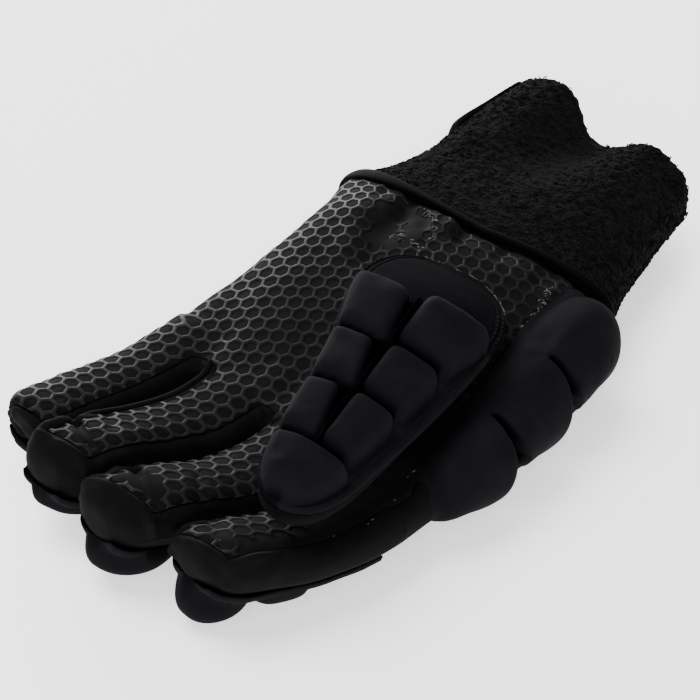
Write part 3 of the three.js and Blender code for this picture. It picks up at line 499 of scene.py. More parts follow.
class Nodes:
    """A short way to build a material's nodes."""

    def __init__(self, name, **values):
        self.material = bpy.data.materials.new(name)
        self.material.use_nodes = True
        self.tree = self.material.node_tree
        self.shader = self.tree.nodes["Principled BSDF"]
        self.place = self.new("ShaderNodeTexCoord").outputs["Object"]
        for key, value in values.items():
            self.shader.inputs[key.replace("_", " ")].default_value = value

    def new(self, kind, values=None, **settings):
        node = self.tree.nodes.new(kind)
        for key, value in settings.items():
            setattr(node, key, value)
        for key, value in (values or {}).items():
            if isinstance(value, bpy.types.NodeSocket):
                self.tree.links.new(value, node.inputs[key])
            else:
                node.inputs[key].default_value = value
        return node

    def link(self, source, key):
        self.tree.links.new(source, self.shader.inputs[key])

    def noise(self, scale, detail, rough=0.5):
        values = {"Vector": self.place, "Scale": scale, "Detail": detail, "Roughness": rough}
        return self.new("ShaderNodeTexNoise", values).outputs["Fac"]

    def cells(self, scale):
        return self.new("ShaderNodeTexVoronoi", {"Vector": self.place, "Scale": scale}).outputs["Distance"]

    def wave(self, scale, direction, distort=0.0):
        values = {"Vector": self.place, "Scale": scale, "Distortion": distort, "Detail Scale": 2.0}
        return self.new("ShaderNodeTexWave", values, bands_direction=direction).outputs["Fac"]

    def attribute(self, name):
        return self.new("ShaderNodeAttribute", attribute_name=name).outputs["Fac"]

    def math(self, operation, a, b):
        return self.new("ShaderNodeMath", {0: a, 1: b}, operation=operation).outputs[0]

    def ramp(self, value, *stops):
        node = self.new("ShaderNodeValToRGB", {"Fac": value})
        elements = node.color_ramp.elements
        while len(elements) < len(stops):
            elements.new(0.5)
        for element, (at, color) in zip(elements, stops):
            element.position = at
            element.color = (*color, 1)
        return node.outputs["Color"]

    def relief(self, *layers):
        """Bumps over each other, each a height, a strength and a distance in metres."""
        under = {}
        for height, strength, distance in layers:
            values = {"Height": height, "Strength": strength, "Distance": distance}
            under = {"Normal": self.new("ShaderNodeBump", values | under).outputs["Normal"]}
        self.link(under["Normal"], "Normal")


def grey(value, blue=1.0):
    return (value, value, value * blue)


def stretch_material(name, dark, light):
    """Smooth matte fabric with a fine close knit."""
    n = Nodes(name, Roughness=0.75, Sheen_Weight=0.005, Sheen_Roughness=0.5, Specular_IOR_Level=0.02)
    n.link(n.ramp(n.noise(160, 3), (0.3, grey(dark, 1.03)), (0.7, grey(light, 1.05))), "Base Color")
    knit = n.math("ADD", n.wave(620, "X", 1.5), n.wave(620, "Y", 1.5))
    n.relief((knit, 0.25, 0.0001), (n.noise(90, 4), 0.35, 0.0012))
    return n.material


def guard_material(name, tone=1.0):
    """Bluish black knit with fine ribs, drawn over foam, on which shade() paints shade."""
    n = Nodes(name, Roughness=0.8, Sheen_Roughness=0.5)
    dark, light = (np.array(c) * tone for c in ((0.0036, 0.0036, 0.0047), (0.0052, 0.0052, 0.0068)))
    color = n.ramp(n.noise(120, 3), (0.3, dark), (0.7, light))
    # Painted shade darkens colour, sheen and specular alike.
    left = n.math("SUBTRACT", 1.0, n.math("MULTIPLY", n.attribute("dark"), 0.95))
    n.link(n.math("MULTIPLY", left, 0.004), "Sheen Weight")
    n.link(n.math("MULTIPLY", left, 0.02), "Specular IOR Level")
    scaled = n.new("ShaderNodeVectorMath", {0: color, "Scale": left}, operation="SCALE")
    n.link(scaled.outputs[0], "Base Color")
    n.relief((n.wave(480, "DIAGONAL", 2.0), 0.12, 0.0001), (n.noise(70, 3), 0.3, 0.0016))
    return n.material


def terry_material():
    n = Nodes("terry", Roughness=0.95, Sheen_Weight=0.01, Sheen_Roughness=0.7, Specular_IOR_Level=0.02)
    stops = (0.35, grey(0.0012)), (0.62, grey(0.002)), (0.8, grey(0.0042))
    n.link(n.ramp(n.noise(1400, 2, 0.7), *stops), "Base Color")
    n.relief((n.cells(950), 0.75, 0.0006), (n.noise(420, 3, 0.7), 0.6, 0.0009))
    return n.material


def silicone_material():
    n = Nodes("silicone_net", Specular_IOR_Level=0.032)
    # worn_and_shade darkens the net, by rubbed off print and by painted shade. Under 0 it is a painted
    # highlight.
    worn_and_shade = n.math("ADD", n.attribute("worn_and_shade"), n.math("MULTIPLY", n.noise(60, 4, 0.6), 0.6))
    stops = (0.05, grey(0.0098)), (0.3, grey(0.0073)), (0.55, grey(0.0054)), (1.0, grey(0.003))
    n.link(n.ramp(worn_and_shade, *stops), "Base Color")
    n.link(n.ramp(worn_and_shade, (0.2, grey(0.45)), (0.9, grey(0.7))), "Roughness")
    n.relief((n.noise(900, 2), 0.25, 0.0002))
    return n.material


def smooth_material(name, value, rough):
    """Woven tape, thread and flecks."""
    n = Nodes(name, Roughness=rough, Specular_IOR_Level=0.03)
    n.link(n.ramp(n.noise(200, 3), (0.3, grey(value * 0.85)), (0.7, grey(value * 1.15))), "Base Color")
    n.relief((n.math("MULTIPLY", n.wave(500, "X"), n.wave(500, "Y")), 0.4, 0.00015))
    return n.material


fleck = smooth_material("print_fleck", 0.075, 0.5)
LOOKS = {  # the material and the record's slot of each
    "palm": (stretch_material("palm_fabric", 0.0026, 0.0042), "palm_print"),
    "side": (stretch_material("stretch_fabric", 0.0023, 0.0035), "stretch_fabric"),
    "guard": (guard_material("guard_fabric"), "guard_fabric"),
    "finger_guard": (guard_material("finger_guard_fabric", 0.72), "guard_fabric"),
    "terry": (terry_material(), "terry"),
    "silicone": (silicone_material(), "palm_print"),
    "binding": (stretch_material("binding", 0.0008, 0.0013), "binding"),
    "strap": (smooth_material("strap", 0.002, 0.65), "strap"),
    "thread": (smooth_material("thread", 0.0036, 0.7), "guard_fabric"),
    "print_fleck": (fleck, "palm_print"),
    "guard_fleck": (fleck, "guard_fabric"),
}
STRAP_EDGE = smooth_material("strap_edge", 0.03, 0.5)

# The sewn skin

SKIN_START, SKIN_SIZE = np.array([-64.0, -102.0, 3.0]), (138, 170, 42)  # of its 1 mm grid
NUDGE, MOST_STEP = 0.05, 0.6  # for the slope of the distance, and the most that a point moves at once
HAND_END = 64  # y where the hand is cut off, inside the cuff
WEB_WIDTH, KNUCKLE_BLEND, PRINT_BLEND = 3.5, 7, 2.5
SEAM_HALF = 0.12  # half the gap between the printed panel and the plain ones
TUCK, TUCK_WIDTH = 0.5, 0.9  # depth and width of a panel's stitched border


def section_distance(u, v, half, rise, tip=0.0, p=SQUARENESS, tip_length=1.0):
    """Distance to a squarish section, to first order. tip closes it like the end of a finger."""
    n = SQUARENESS
    u, v = np.abs(u), np.abs(v)
    across = np.maximum(u**n + v**n, 1e-9)
    q = np.maximum(across ** (p / n) + tip**p, 1e-9) ** (1 / p)
    scale = q ** (1 - p)
    gu = scale * across ** (p / n - 1) * u ** (n - 1) / half
    gv = scale * across ** (p / n - 1) * v ** (n - 1) / rise
    gt = scale * tip ** (p - 1) / tip_length
    return (q - 1) / np.maximum(np.sqrt(gu**2 + gv**2 + gt**2), 1e-3)


def along_line(x, y, x0, y0, x1, y1):
    """Distance in the plan from a short straight line."""
    run = ((x - x0) * (x1 - x0) + (y - y0) * (y1 - y0)) / ((x1 - x0) ** 2 + (y1 - y0) ** 2)
    run = np.clip(run, 0, 1)
    return np.hypot(x - x0 - run * (x1 - x0), y - y0 - run * (y1 - y0))


def marks(x, y, lines):
    """The strength of each mark of a list at places in the plan."""
    for *line, width, strength in lines:
        yield strength * bell(along_line(x, y, *line), width)


def hand_section(x, y, more=""):
    """x as a share of the hand's half width there, that half width, the middle's height, the half height
    and the table's columns named in more."""
    left, right, low, high, *others = HAND(y - seam_swing(x, y), "left right low high " + more)
    half = (right - left) / 2
    return (x - (left + right) / 2) / half, half, (low + high) / 2, (high - low) / 2, *others


def hand_distance(x, y, z):
    u, half, middle, rise, lean = hand_section(x, y, "lean")
    shift = -lean * u * crown_at(u, 0.999) - sum(marks(x, y - seam_swing(x, y), FOLDS))
    v = (z - shift * smooth(0, 6, z - middle) - middle) / rise
    web = sum(reach * bell(x - wx, WEB_WIDTH) for wx, reach in WEBS)
    return np.maximum(section_distance(u, v, half, rise), knuckle_y(x) - web - y)


def finger_parts(finger, x, y, z):
    """Shares along a finger and across it, its half width, its middle's height and its half height."""
    share = (y - finger["root"]) / (finger["tip"] - finger["root"])
    cx, half, low, high = finger["rows"](y, "x half low high")
    return share, (x + roll_at(share) * (high - z) - cx) / half, half, (low + high) / 2, (high - low) / 2


def finger_distance(finger, x, y, z):
    share, u, half, middle, rise = finger_parts(finger, x, y, z)
    tilted = share + finger["tilt"] * (middle + rise - z) / 60
    tip = np.maximum(0, (tilted - TIP_FROM) / (1 - TIP_FROM))
    length = abs(finger["tip"] - KNUCKLE_Y) * (1 - TIP_FROM)
    body = section_distance(u, (z - middle) / rise, half, rise, tip, TIP_POWER, length)
    return np.maximum(body, y - (KNUCKLE_Y + 9))


def skin_distance(p):
    x, y, z = p[..., 0], p[..., 1], p[..., 2]
    d = np.maximum(hand_distance(x, y, z), y - HAND_END)
    for finger in FINGERS:
        d = np.minimum(d, finger_distance(finger, x, y, z))
    return d


def build_skin():
    """Points and triangles of hand and fingers, blended at the knuckles, rippled and creased."""
    axes = [start + np.arange(size) for start, size in zip(SKIN_START, SKIN_SIZE)]
    grid = np.stack(np.meshgrid(*axes, indexing="ij"), -1)
    points, quads = surface_nets(skin_distance(grid), SKIN_START)
    tris = np.concatenate([quads[:, [0, 1, 2]], quads[:, [0, 2, 3]]])
    for _ in range(3):
        d = skin_distance(points)
        slope = np.stack([(skin_distance(points + step) - d) / NUDGE for step in NUDGE * np.eye(3)], 1)
        size = np.maximum((slope**2).sum(1, keepdims=True), 0.3)
        points = points - np.clip(d[:, None] * slope / size, -MOST_STEP, MOST_STEP)
    knuckle = bell(points[:, 1] - knuckle_y(points[:, 0]), KNUCKLE_BLEND)
    points = smoothed(points, tris, (0.5,) * 14, 0.9 * knuckle[:, None])
    points = smoothed(points, tris, (0.5, -0.52) * 4)
    ripple = 0.35 * value_noise(points, 13, 1) + 0.196 * value_noise(points, 6, 2)
    normals = vertex_normals(points, tris)
    for crease in marks(points[:, 0], points[:, 1], CREASES):
        ripple -= crease * smooth(0.1, 0.7, normals[:, 2])
    return points + normals * ripple[:, None], tris


def skin_facts(points):
    """For each point: how far it is into the print, how far past the knuckle line, and its finger."""
    x, y, z = points.T
    which = np.stack([np.abs(finger_distance(f, x, y, z)) for f in FINGERS]).argmin(0)
    past = knuckle_y(x) - y
    u, half, middle, _, edge = hand_section(x, y, "edge")
    hand = np.minimum((edge - u) * half, z - middle)
    strips = np.full(len(points), -99.0)
    for finger in FINGERS:
        share, u, half, middle, _ = finger_parts(finger, x, y, z)
        sides = np.minimum((finger["right"] - u) * half, (u - finger["left"]) * half)
        end = (finger["printed"] - finger["slope"] * u - share) * abs(finger["tip"] - KNUCKLE_Y)
        strips = np.maximum(strips, np.minimum(np.minimum(sides, end), z - middle))
    blend = smooth(-PRINT_BLEND, PRINT_BLEND, past)
    return np.stack([hand * (1 - blend) + strips * blend, past, which], 1)


def panel(name, data, tris, look, lip=0.0):
    """A sewn panel. Its border is tucked in where it is stitched, and a lip stands proud beside it."""
    points, normals, border = data[:, :3], unit(data[:, 3:6]), np.abs(data[:, 6])
    y = points[:, 1]
    lift = lip * (1 + 0.8 * value_noise(points, 3.5, 41)) * smooth(-72, -80, y) * bell(border - 1.5, 1.2)
    lift = lift + 0.7 * value_noise(points, 7, 42) * smooth(-76, -84, y) * smooth(1, 5, border)
    outer = points + normals * (lift - TUCK * np.exp(-border / TUCK_WIDTH))[:, None]
    return make(name, *shell(outer, normals, tris, PANEL), look)


def up_to_wrist(data, tris):
    return clip(data, tris, PANEL_END - data[:, 1] + seam_swing(data[:, 0], data[:, 1]))


skin, skin_tris = build_skin()
data = np.concatenate([skin, vertex_normals(skin, skin_tris), skin_facts(skin)], 1)
printed, printed_tris = up_to_wrist(*clip(data, skin_tris, data[:, 6] - SEAM_HALF))
palm = panel("palm_panel", printed, printed_tris, "palm")
plain, plain_tris = clip(data, skin_tris, -data[:, 6] - SEAM_HALF)
back_piece = panel("back_panel", *up_to_wrist(*clip(plain, plain_tris, -plain[:, 7] - 0.1)), "side")
ends, ends_tris = clip(plain, plain_tris, plain[:, 7] - 0.1)
for i, finger in enumerate(FINGERS):
    own = np.round(ends[ends_tris, 8].mean(1)) == i
    used, inverse = np.unique(ends_tris[own], return_inverse=True)
    name = finger["name"] + "_sleeve"
    panel(name, ends[used], inverse.reshape(-1, 3), "side", lip=1.5)

# The silicone net on the palm

PITCH, LINE = 5.0, 1.36  # distance between neighbouring cells, and width of the net's lines
CELL_SIDES, CORNER_CUT = 24, 0.42  # points round a cell, and how far inside a corner its hole ends
NET_INSET = 0.25  # from the printed panel's border
REACHED, ON_CLOTH = 8, 0.05  # how near the cloth a cell's points are: all of them, and one at least


def arc_across(u, v, half, rise):
    """Length along a section from its top to a point at shares u and v of its half sizes."""
    n = SQUARENESS
    end = np.arctan2(np.abs(u) ** (n / 2), power(v, n / 2))
    angle = end[..., None] * np.linspace(0, 1, 33)
    px = half[..., None] * np.abs(np.sin(angle)) ** (2 / n)
    pz = rise[..., None] * power(np.cos(angle), 2 / n)
    return np.sign(u) * np.hypot(np.diff(px), np.diff(pz)).sum(-1)


def on_section(u, v):
    """v as it would be without dents and ripples, away from the sides of a section."""
    side = smooth(0.8, 0.96, np.abs(u))
    return crown_at(u, 0.97) * (1 - side) + np.clip(v, -1, 1) * side


def pattern_place(points):
    """Where each point of the palm lies on the flat, printed cloth."""
    x, y, z = points.T
    u_hand, half, middle, rise = hand_section(x, y)
    s_hand = arc_across(u_hand, on_section(u_hand, (z - middle) / rise), half, rise)
    # The cells lean over to a finger past the knuckles, a little earlier at the little finger's side.
    outer = smooth(0.6, 0.8, -u_hand)
    blend = smooth(0, 1, (knuckle_y(x) - y + 4 + 6 * outer) / (18 - 4 * outer))
    across, best = np.zeros(len(points)), np.full(len(points), 1e9)
    for finger in FINGERS:
        _, u, half, middle, rise = finger_parts(finger, x, y, z)
        near = np.abs(u) * half < best
        best = np.where(near, np.abs(u) * half, best)
        s = arc_across(u, on_section(u, (z - middle) / rise), half, rise)
        root_u, root_half, _, root_rise = hand_section(finger["root_x"], KNUCKLE_Y)
        s = s + arc_across(root_u, crown_at(root_u), root_half, root_rise)
        across[near] = (s_hand * (1 - blend) + s * blend)[near]
    ys = np.linspace(-100, 64, 400)
    climb = np.where(ys > KNUCKLE_Y, HAND(ys, "high")[0], FINGERS[1]["rows"](ys, "high")[0])
    along = np.concatenate([[0], np.cumsum(np.hypot(np.diff(ys), np.diff(climb)))])
    return np.stack([across, np.interp(y, ys, along - np.interp(0, ys, along))], 1)


def net_pattern(low, high):
    """Cells of the net on the flat cloth: points, heights and quads."""
    angle = 2 * np.pi * np.arange(CELL_SIDES) / CELL_SIDES
    corner = (angle + np.pi / 6) % (np.pi / 3) - np.pi / 6
    apothem = PITCH / 2
    outer = apothem / np.cos(corner)
    straight = (apothem - LINE / 2) / np.cos(corner)
    rounding = apothem - LINE / 2 + CORNER_CUT
    hole = (straight**-16.0 + rounding**-16.0) ** (-1 / 16.0) * 1.02
    rings = [(outer, 0.27), (hole + 0.22, 0.25), (hole + 0.04, 0.14), (hole - 0.03, -0.12)]
    spacing = PITCH * math.sqrt(3) / 2
    columns = np.arange(math.floor(low[0] / spacing) - 1, math.ceil(high[0] / spacing) + 2)
    rows = np.arange(math.floor(low[1] / PITCH) - 1, math.ceil(high[1] / PITCH) + 2)
    c, r = (a.ravel() for a in np.meshgrid(columns, rows, indexing="ij"))
    centres = np.stack([c * spacing, (r + 0.5 * (c % 2)) * PITCH], 1)
    # A neighbour lies straight along the pattern's length, so a flat side faces it.
    direction = np.stack([np.sin(angle), np.cos(angle)], 1)
    flat = [centres[:, None] + direction[None] * radius[None, :, None] for radius, _ in rings]
    heights = [np.full((len(centres), CELL_SIDES), height) for _, height in rings]
    cell = grid_quads(len(rings), CELL_SIDES, wrap=True)
    first = np.arange(len(centres))[:, None, None] * len(rings) * CELL_SIDES
    return np.stack(flat, 1).reshape(-1, 2), np.stack(heights, 1).ravel(), (first + cell[None]).reshape(-1, 4)


def build_net(data, tris):
    """The net's points and quads, laid from the flat cloth onto the palm."""
    sheet = pattern_place(data[:, :3])
    flat, heights, quads = net_pattern(sheet.min(0), sheet.max(0))
    tree = BVHTree.FromPolygons([(a, b, 0.0) for a, b in sheet.tolist()], tris.tolist())
    spots, far = np.zeros((len(flat), 6)), np.full(len(flat), 9.0)
    for i, (x, y) in enumerate(flat):
        hit, _, face, distance = tree.find_nearest((x, y, 0.0), 3.0)
        if hit is None:
            continue
        corners = tris[face]
        pa, pb, pc = sheet[corners]
        det = (pb[0] - pa[0]) * (pc[1] - pa[1]) - (pc[0] - pa[0]) * (pb[1] - pa[1])
        if abs(det) < 1e-9:
            continue
        wb = ((hit.x - pa[0]) * (pc[1] - pa[1]) - (pc[0] - pa[0]) * (hit.y - pa[1])) / det
        wc = ((pb[0] - pa[0]) * (hit.y - pa[1]) - (hit.x - pa[0]) * (pb[1] - pa[1])) / det
        wb, wc = min(max(wb, 0), 1), min(max(wc, 0), 1)
        spots[i] = np.array([1 - wb - wc, wb, wc]) @ data[corners, :6]
        far[i] = distance
    kept = quads[(far[quads] < REACHED).all(1) & (far[quads] < ON_CLOTH).any(1)]
    points = spots[:, :3] + unit(spots[:, 3:]) * heights[:, None]
    used, inverse = np.unique(kept, return_inverse=True)
    return points[used], inverse.reshape(-1, 4)


def rubbed_and_shaded_at(points):
    """How much of the print is rubbed off, and how much it is painted darker as shade, at each point, from 0
    up; a painted highlight takes it under 0.
    """
    total = np.zeros(len(points))
    for worn_and_shade in marks(points[:, 0], points[:, 1], WORN_AND_SHADED):
        total = np.maximum(total, worn_and_shade)
    # Painted highlight: the net is painted lighter towards the little finger's side, where light glints on
    # it.
    ulnar_glint = 0.3 * smooth(-18, -40, points[:, 0])
    return np.clip(total + 0.22 * value_noise(points, 8, 30) * np.minimum(1, 3 * total) - ulnar_glint, -0.4, 1.3)


bare = printed[:, 6] - NET_INSET
for *line, radius in BARE:
    bare = np.minimum(bare, along_line(printed[:, 0], printed[:, 1], *line) - radius)
net_points, net_quads = build_net(*clip(printed, printed_tris, bare))
rubbed_and_shaded = rubbed_and_shaded_at(net_points)
speckle = 0.5 + 0.5 * value_noise(net_points, 2.2, 31)
net_quads = net_quads[(rubbed_and_shaded + 0.25 * speckle)[net_quads].mean(1) < 1.0]
net = make("palm_net", net_points, net_quads, "silicone", replaces=False)
paint(net, "worn_and_shade", rubbed_and_shaded)

# Guards


def dome(u, v, square, fullness, steep):
    """Share of a pad's height at shares u and v of its half sizes."""
    r = (np.abs(u) ** square + np.abs(v) ** square) ** (1 / square)
    return np.maximum(0, 1 - np.minimum(r, 1) ** fullness) ** steep


def wall_rise(t):
    """Share of full height at a share of the width of a pad's rounded wall."""
    return (1 - (1 - np.clip(t, 0, 1)) ** 2.6) ** 0.5


def rounded_rim(distance, radius):
    """Share of a rim's thickness near its cut edge."""
    t = 1 - np.clip(distance / radius, 0, 1)
    return 0.4 + 0.6 * np.sqrt(1 - t * t)


def across_thumb(yaw, roll):
    return np.stack([np.cos(yaw) * np.cos(roll), np.sin(yaw) * np.cos(roll), -np.sin(roll)], -1)


def thumb_frame(a, side, z, arch, share):
    """A point of the thumb's guard and the way up from it."""
    yaw = math.radians(THUMB_YAW)
    over = across_thumb(yaw, math.radians(GUARD_ROLL))
    down = np.array([math.sin(yaw), -math.cos(yaw), 0])
    up = unit(np.cross(down, over))
    base = np.stack([np.full_like(a, THUMB_AXIS_X), np.full_like(a, THUMB_AXIS_Y), z], -1)
    return base + a[..., None] * down + side[..., None] * over - (arch * share**2)[..., None] * up, up


def thumb_guard():
    """Seven rounded blocks with grooves between them painted black as shade, on a stitched border."""
    low, high = THUMB_GUARD.rows[[0, -1], 0]
    a, c = span((low, high, 220), (-1, 1, 141))
    z, left, right, arch = THUMB_GUARD(a, "z left right arch")
    width = np.where(c < 0, left, right)
    side = width * c
    base, up = thumb_frame(a, side, z, arch, c)
    ripple = 0.6 * value_noise(base, 9, 11) + 0.3 * value_noise(base, 4, 12)
    border = np.minimum(width - np.abs(side), np.minimum(a - low, high - a))
    wider = 3 * smooth(22, 44, a)  # the right border widens towards the tip
    blocks = np.zeros_like(a)
    for right_start, right_end, left_start, left_end, slant in THUMB_BLOCKS:
        # The middle gap is a wedge beside each left block, widest at the wrist's end.
        slanted = a - slant * (1 - np.clip(-side / left, 0, 1))
        wedge = 0.4 + 2.7 * smooth(0.95, 0.0, (slanted - left_start) / (left_end - left_start))
        for at, start, end, away, inner, outer in (
            (slanted, left_start, left_end, -side, wedge, left - 1.1),
            (a, right_start, right_end, side, 0.35, right - 1.3 - wider),
        ):
            block = dome(centred(at, start, end), centred(away, inner, outer), 8.0, 7.0, 0.42)
            blocks = np.maximum(blocks, block)
    start, end = THUMB_TIP_BLOCK
    tip = wall_rise((a - start) / 2.4) * wall_rise((end - a) / 5)
    tip = tip * wall_rise((side + left - 0.7) / 3.6) * wall_rise((right - 2.2 - side) / 3.6)
    blocks = np.maximum(blocks, tip)
    height = RIM * rounded_rim(border, RIM_RADIUS)
    height = height + (BLOCK_RISE + 0.5 * ripple) * blocks + 0.25 * ripple * smooth(0, 3, border)
    height = height - 0.9 * bell(a - 93, 3) * bell(side + 7, 2.6) * blocks  # a dimple in the tip block
    seams = sum(deep * bell(border - inset, 0.3) for inset, deep in THUMB_SEAMS)
    height = height - 0.5 * seams * (1 - np.minimum(1, 3 * blocks))
    ridge = bell(side + 0.8, 0.42) * smooth(20, 26, a) * smooth(84, 80, a)
    height = height + 6.4 * ridge * (1 - np.minimum(1, 2 * blocks))
    guard = make("thumb_guard", *slab(base, base + height[..., None] * up), "guard", padded=True)
    # The border is darker on the wrist's end and the left, and the grooves between the blocks are painted
    # black as shade.
    dark = 0.6 * smooth(0.1, 0.0, blocks) * np.maximum(smooth(24.5, 23, a), smooth(0.6, -0.6, side))
    first, last = THUMB_BLOCKS[0][0], THUMB_TIP_BLOCK[0]
    among = smooth(first + 0.6, first + 2, a) * smooth(last + 2.5, last + 1, a)
    among = among * smooth(2, 3, side + left) * smooth(2.8, 3.8, right - wider - side)
    # deep is the painted shade in the grooves, lighter on the ridge.
    deep = among * smooth(0.72, 0.5, blocks) * (1 - 0.8 * smooth(0.04, 0.25, ridge))
    shade(guard, np.maximum(dark, deep))


def hand_point(y, across, up):
    """A point of the hand at shares across and up its section."""
    left, right, low, high = HAND(y, "left right low high")
    x = left + (right - left) / 2 * (1 + across)
    return np.stack([x, y + seam_swing(x, y), low + (high - low) / 2 * (1 + up)], -1)


def side_guard():
    """Three lobes along the thumb side of the hand, with two slits between them."""
    plain, share = span((SIDE_START, SIDE_END, 250), (0, 1, 104))
    w = 2 * share[0] - 1
    # Rows of points follow the edges of the two slits, which are narrow at the top and open outwards.
    yy = plain.copy()
    for line, slit in SIDE_SLITS:
        follow = smooth(-0.66, -0.5, w)
        near, far = (SLIT_TOP + (edge - SLIT_TOP) * follow + SLIT_MARGIN for edge in slit(w, "near far"))
        even = line + np.array([-WARP_NEAR, -SLIT_TOP - SLIT_MARGIN, SLIT_TOP + SLIT_MARGIN, WARP_FAR])
        for j in range(len(w)):
            inside = (plain[:, j] > even[0]) & (plain[:, j] < even[3])
            edges = [even[0], line - near[j], line + far[j], even[3]]
            yy[inside, j] = np.interp(plain[inside, j], even, edges)
    first = SIDE_FROM + 3 * smooth(36, 22, yy)
    base = hand_point(yy, *edge_at(np.radians(first + (SIDE_TO - first) * share)))
    normal = grid_normals(base)
    steps = np.linalg.norm(np.diff(base, axis=1), axis=2)
    run = np.concatenate([np.zeros((len(yy), 1)), np.cumsum(steps, 1)], 1)
    width = run[:, -1:]
    w = 2 * run / width - 1
    border = np.minimum(np.minimum(run, width - run), np.minimum(SIDE_START - yy, yy - SIDE_END))
    rise = 2 * ((w + 1) / 2) ** 1.7 - 1
    middle, half = 14.5, 38.3  # of the lobes' length along y
    body = dome((yy - middle) / half, rise / 0.98, 9, 3.4, 0.5 + 0.45 * smooth(-0.2, -0.95, w))
    # cut is where the slits open, which is painted black as shade.
    cut = np.zeros_like(yy)
    for line, slit in SIDE_SLITS:
        near, far = slit(w, "near far")
        away = yy - line
        gap = smooth(near + 0.5, near - 0.5, -away) * smooth(far + 0.6, far - 0.6, away)
        gap = gap * smooth(-0.52, -0.44, w)
        # The lobe on the wrist's side of a slit falls off towards it.
        fall = np.where(away > 0, bell(away, 10), bell(away, 3))
        body = body * (1 - 0.34 * fall * smooth(-0.35, 0.4, w)) * (1 - 0.95 * gap)
        cut = np.maximum(cut, gap)
    full = 10 + 3 * smooth(-24, 18, yy) + 2.3 * smooth(20, 48, yy)
    dent = 1.3 * bell(yy + 12.8, 4) * bell(w + 0.25, 0.22)
    for middle, reach, round_middle, round_reach, depth in SIDE_FLATS:
        dent = dent + depth * bell(yy - middle, reach) * bell(w - round_middle, round_reach)
    ripple = 0.6 * value_noise(base, 12, 13) + 0.3 * value_noise(base, 5, 14)
    thin = RIM * (0.25 + 0.75 * smooth(0, 5, run)) * rounded_rim(border, RIM_RADIUS)
    # The rim lies down on the skin.
    seat = SEAT - 1.2 * smooth(5, 0.5, border)
    upper = seat + thin + (full - dent + 0.7 * ripple) * body
    lower, upper = (base + normal * h[..., None] for h in (seat, upper))
    guard = make("side_guard", *slab(lower, upper), "guard", padded=True)
    # Painted shade: black in the slits, and darker towards the lobes' upper edge.
    shade(guard, np.maximum(smooth(0.02, 0.35, cut), 0.35 * smooth(-0.35, -0.9, w)))


def finger_skin(finger, share, across, side):
    """Points of a finger's skin at shares along it and across it, above, 1, or below, -1."""
    y = finger["root"] + (finger["tip"] - finger["root"]) * share
    x, half, low, high = finger["rows"](y, "x half low high")
    ending = np.clip((share - TIP_FROM) / (1 - TIP_FROM), 0, 1)
    closing = (1 - ending**TIP_POWER) ** (1 / TIP_POWER)
    z = (low + high) / 2 + side * (high - low) / 2 * closing * crown_at(across)
    return np.stack([x + half * across * closing - roll_at(share) * (high - z), y, z], -1)


def finger_guard(finger):
    """Two blocks and an end lobe under a finger, on a rim that stands out beside it."""
    side_at, end_at, rim = 0.9, 0.99, 2.3
    s, c = span((0.13, end_at - 0.28 * finger["tilt"], 124), (-side_at, side_at, 54))
    top = finger_skin(finger, s, c, -1) - np.array([0, 0, SEAT])
    width = finger["rows"](top[..., 1], "half")[0]
    lip, edge = smooth(0.55, 0.9, s), smooth(0.6, 0.9, np.abs(c))
    wave = value_noise(top, 4.5, 22)
    top[..., 0] += finger["lip"] * (1.2 + 0.7 * wave * edge) * c * lip
    top[..., 1] -= finger["lip"] * (0.7 + 0.8 * wave) * smooth(0.9, 0.99, s)
    top[..., 2] += 0.5 * value_noise(top, 5, 23) * edge * lip
    drop = rim * rounded_rim(np.minimum((side_at - np.abs(c)) * width, (end_at - s) * 62), 1.3)
    ahead = 0.06 if finger["name"] == "index_finger" else 0
    lobe_depth = np.maximum(RIM, top[..., 2] - finger["lobe"])
    for start, end, across, square, depth in (
        (0.15, 0.4, c / 0.85, 4, finger["first"]),
        (0.42 + 1.4 * ahead, 0.67 + 1.4 * ahead, c / 0.85, 4, finger["second"]),
        (0.66 + ahead, 1.0, (c - finger["lobe_x"]) / finger["lobe_half"], 2.2, lobe_depth),
    ):
        share = dome(centred(s, start, end), across, square, 2.0, 0.5)
        drop = np.maximum(drop, np.where(share > 0, rim + share * (depth - rim), 0))
    lean = np.maximum(np.where(share > 0, LOBE_REACH * (drop - rim), 0), 0)
    drop = drop + 0.15 * value_noise(top, 5, 21)
    bottom = top - np.stack([roll_at(s) * drop, lean, drop], -1)
    make(finger["name"] + "_guard", *slab(top, bottom), "finger_guard", padded=True)


def back_guard():
    """Six plain blocks under the back of the hand, which isn't seen."""
    yy, cc = span((46, -29, 90), (-0.8, 0.8, 100))
    down = np.array([0, 0, 1])
    top = hand_point(yy, cc, -crown_at(cc)) - 0.9 * down
    drop = np.full_like(yy, RIM)
    for start, end in ((43, 22), (19, -2), (-5, -26)):
        for left, right in ((-0.72, -0.03), (0.03, 0.74)):
            block = dome(centred(yy, start, end), centred(cc, left, right), 5, 3.6, 0.5)
            drop = np.maximum(drop, RIM + block * (top[..., 2] - RIM))
    make("back_guard", *slab(top, top - drop[..., None] * down), "guard", padded=True)


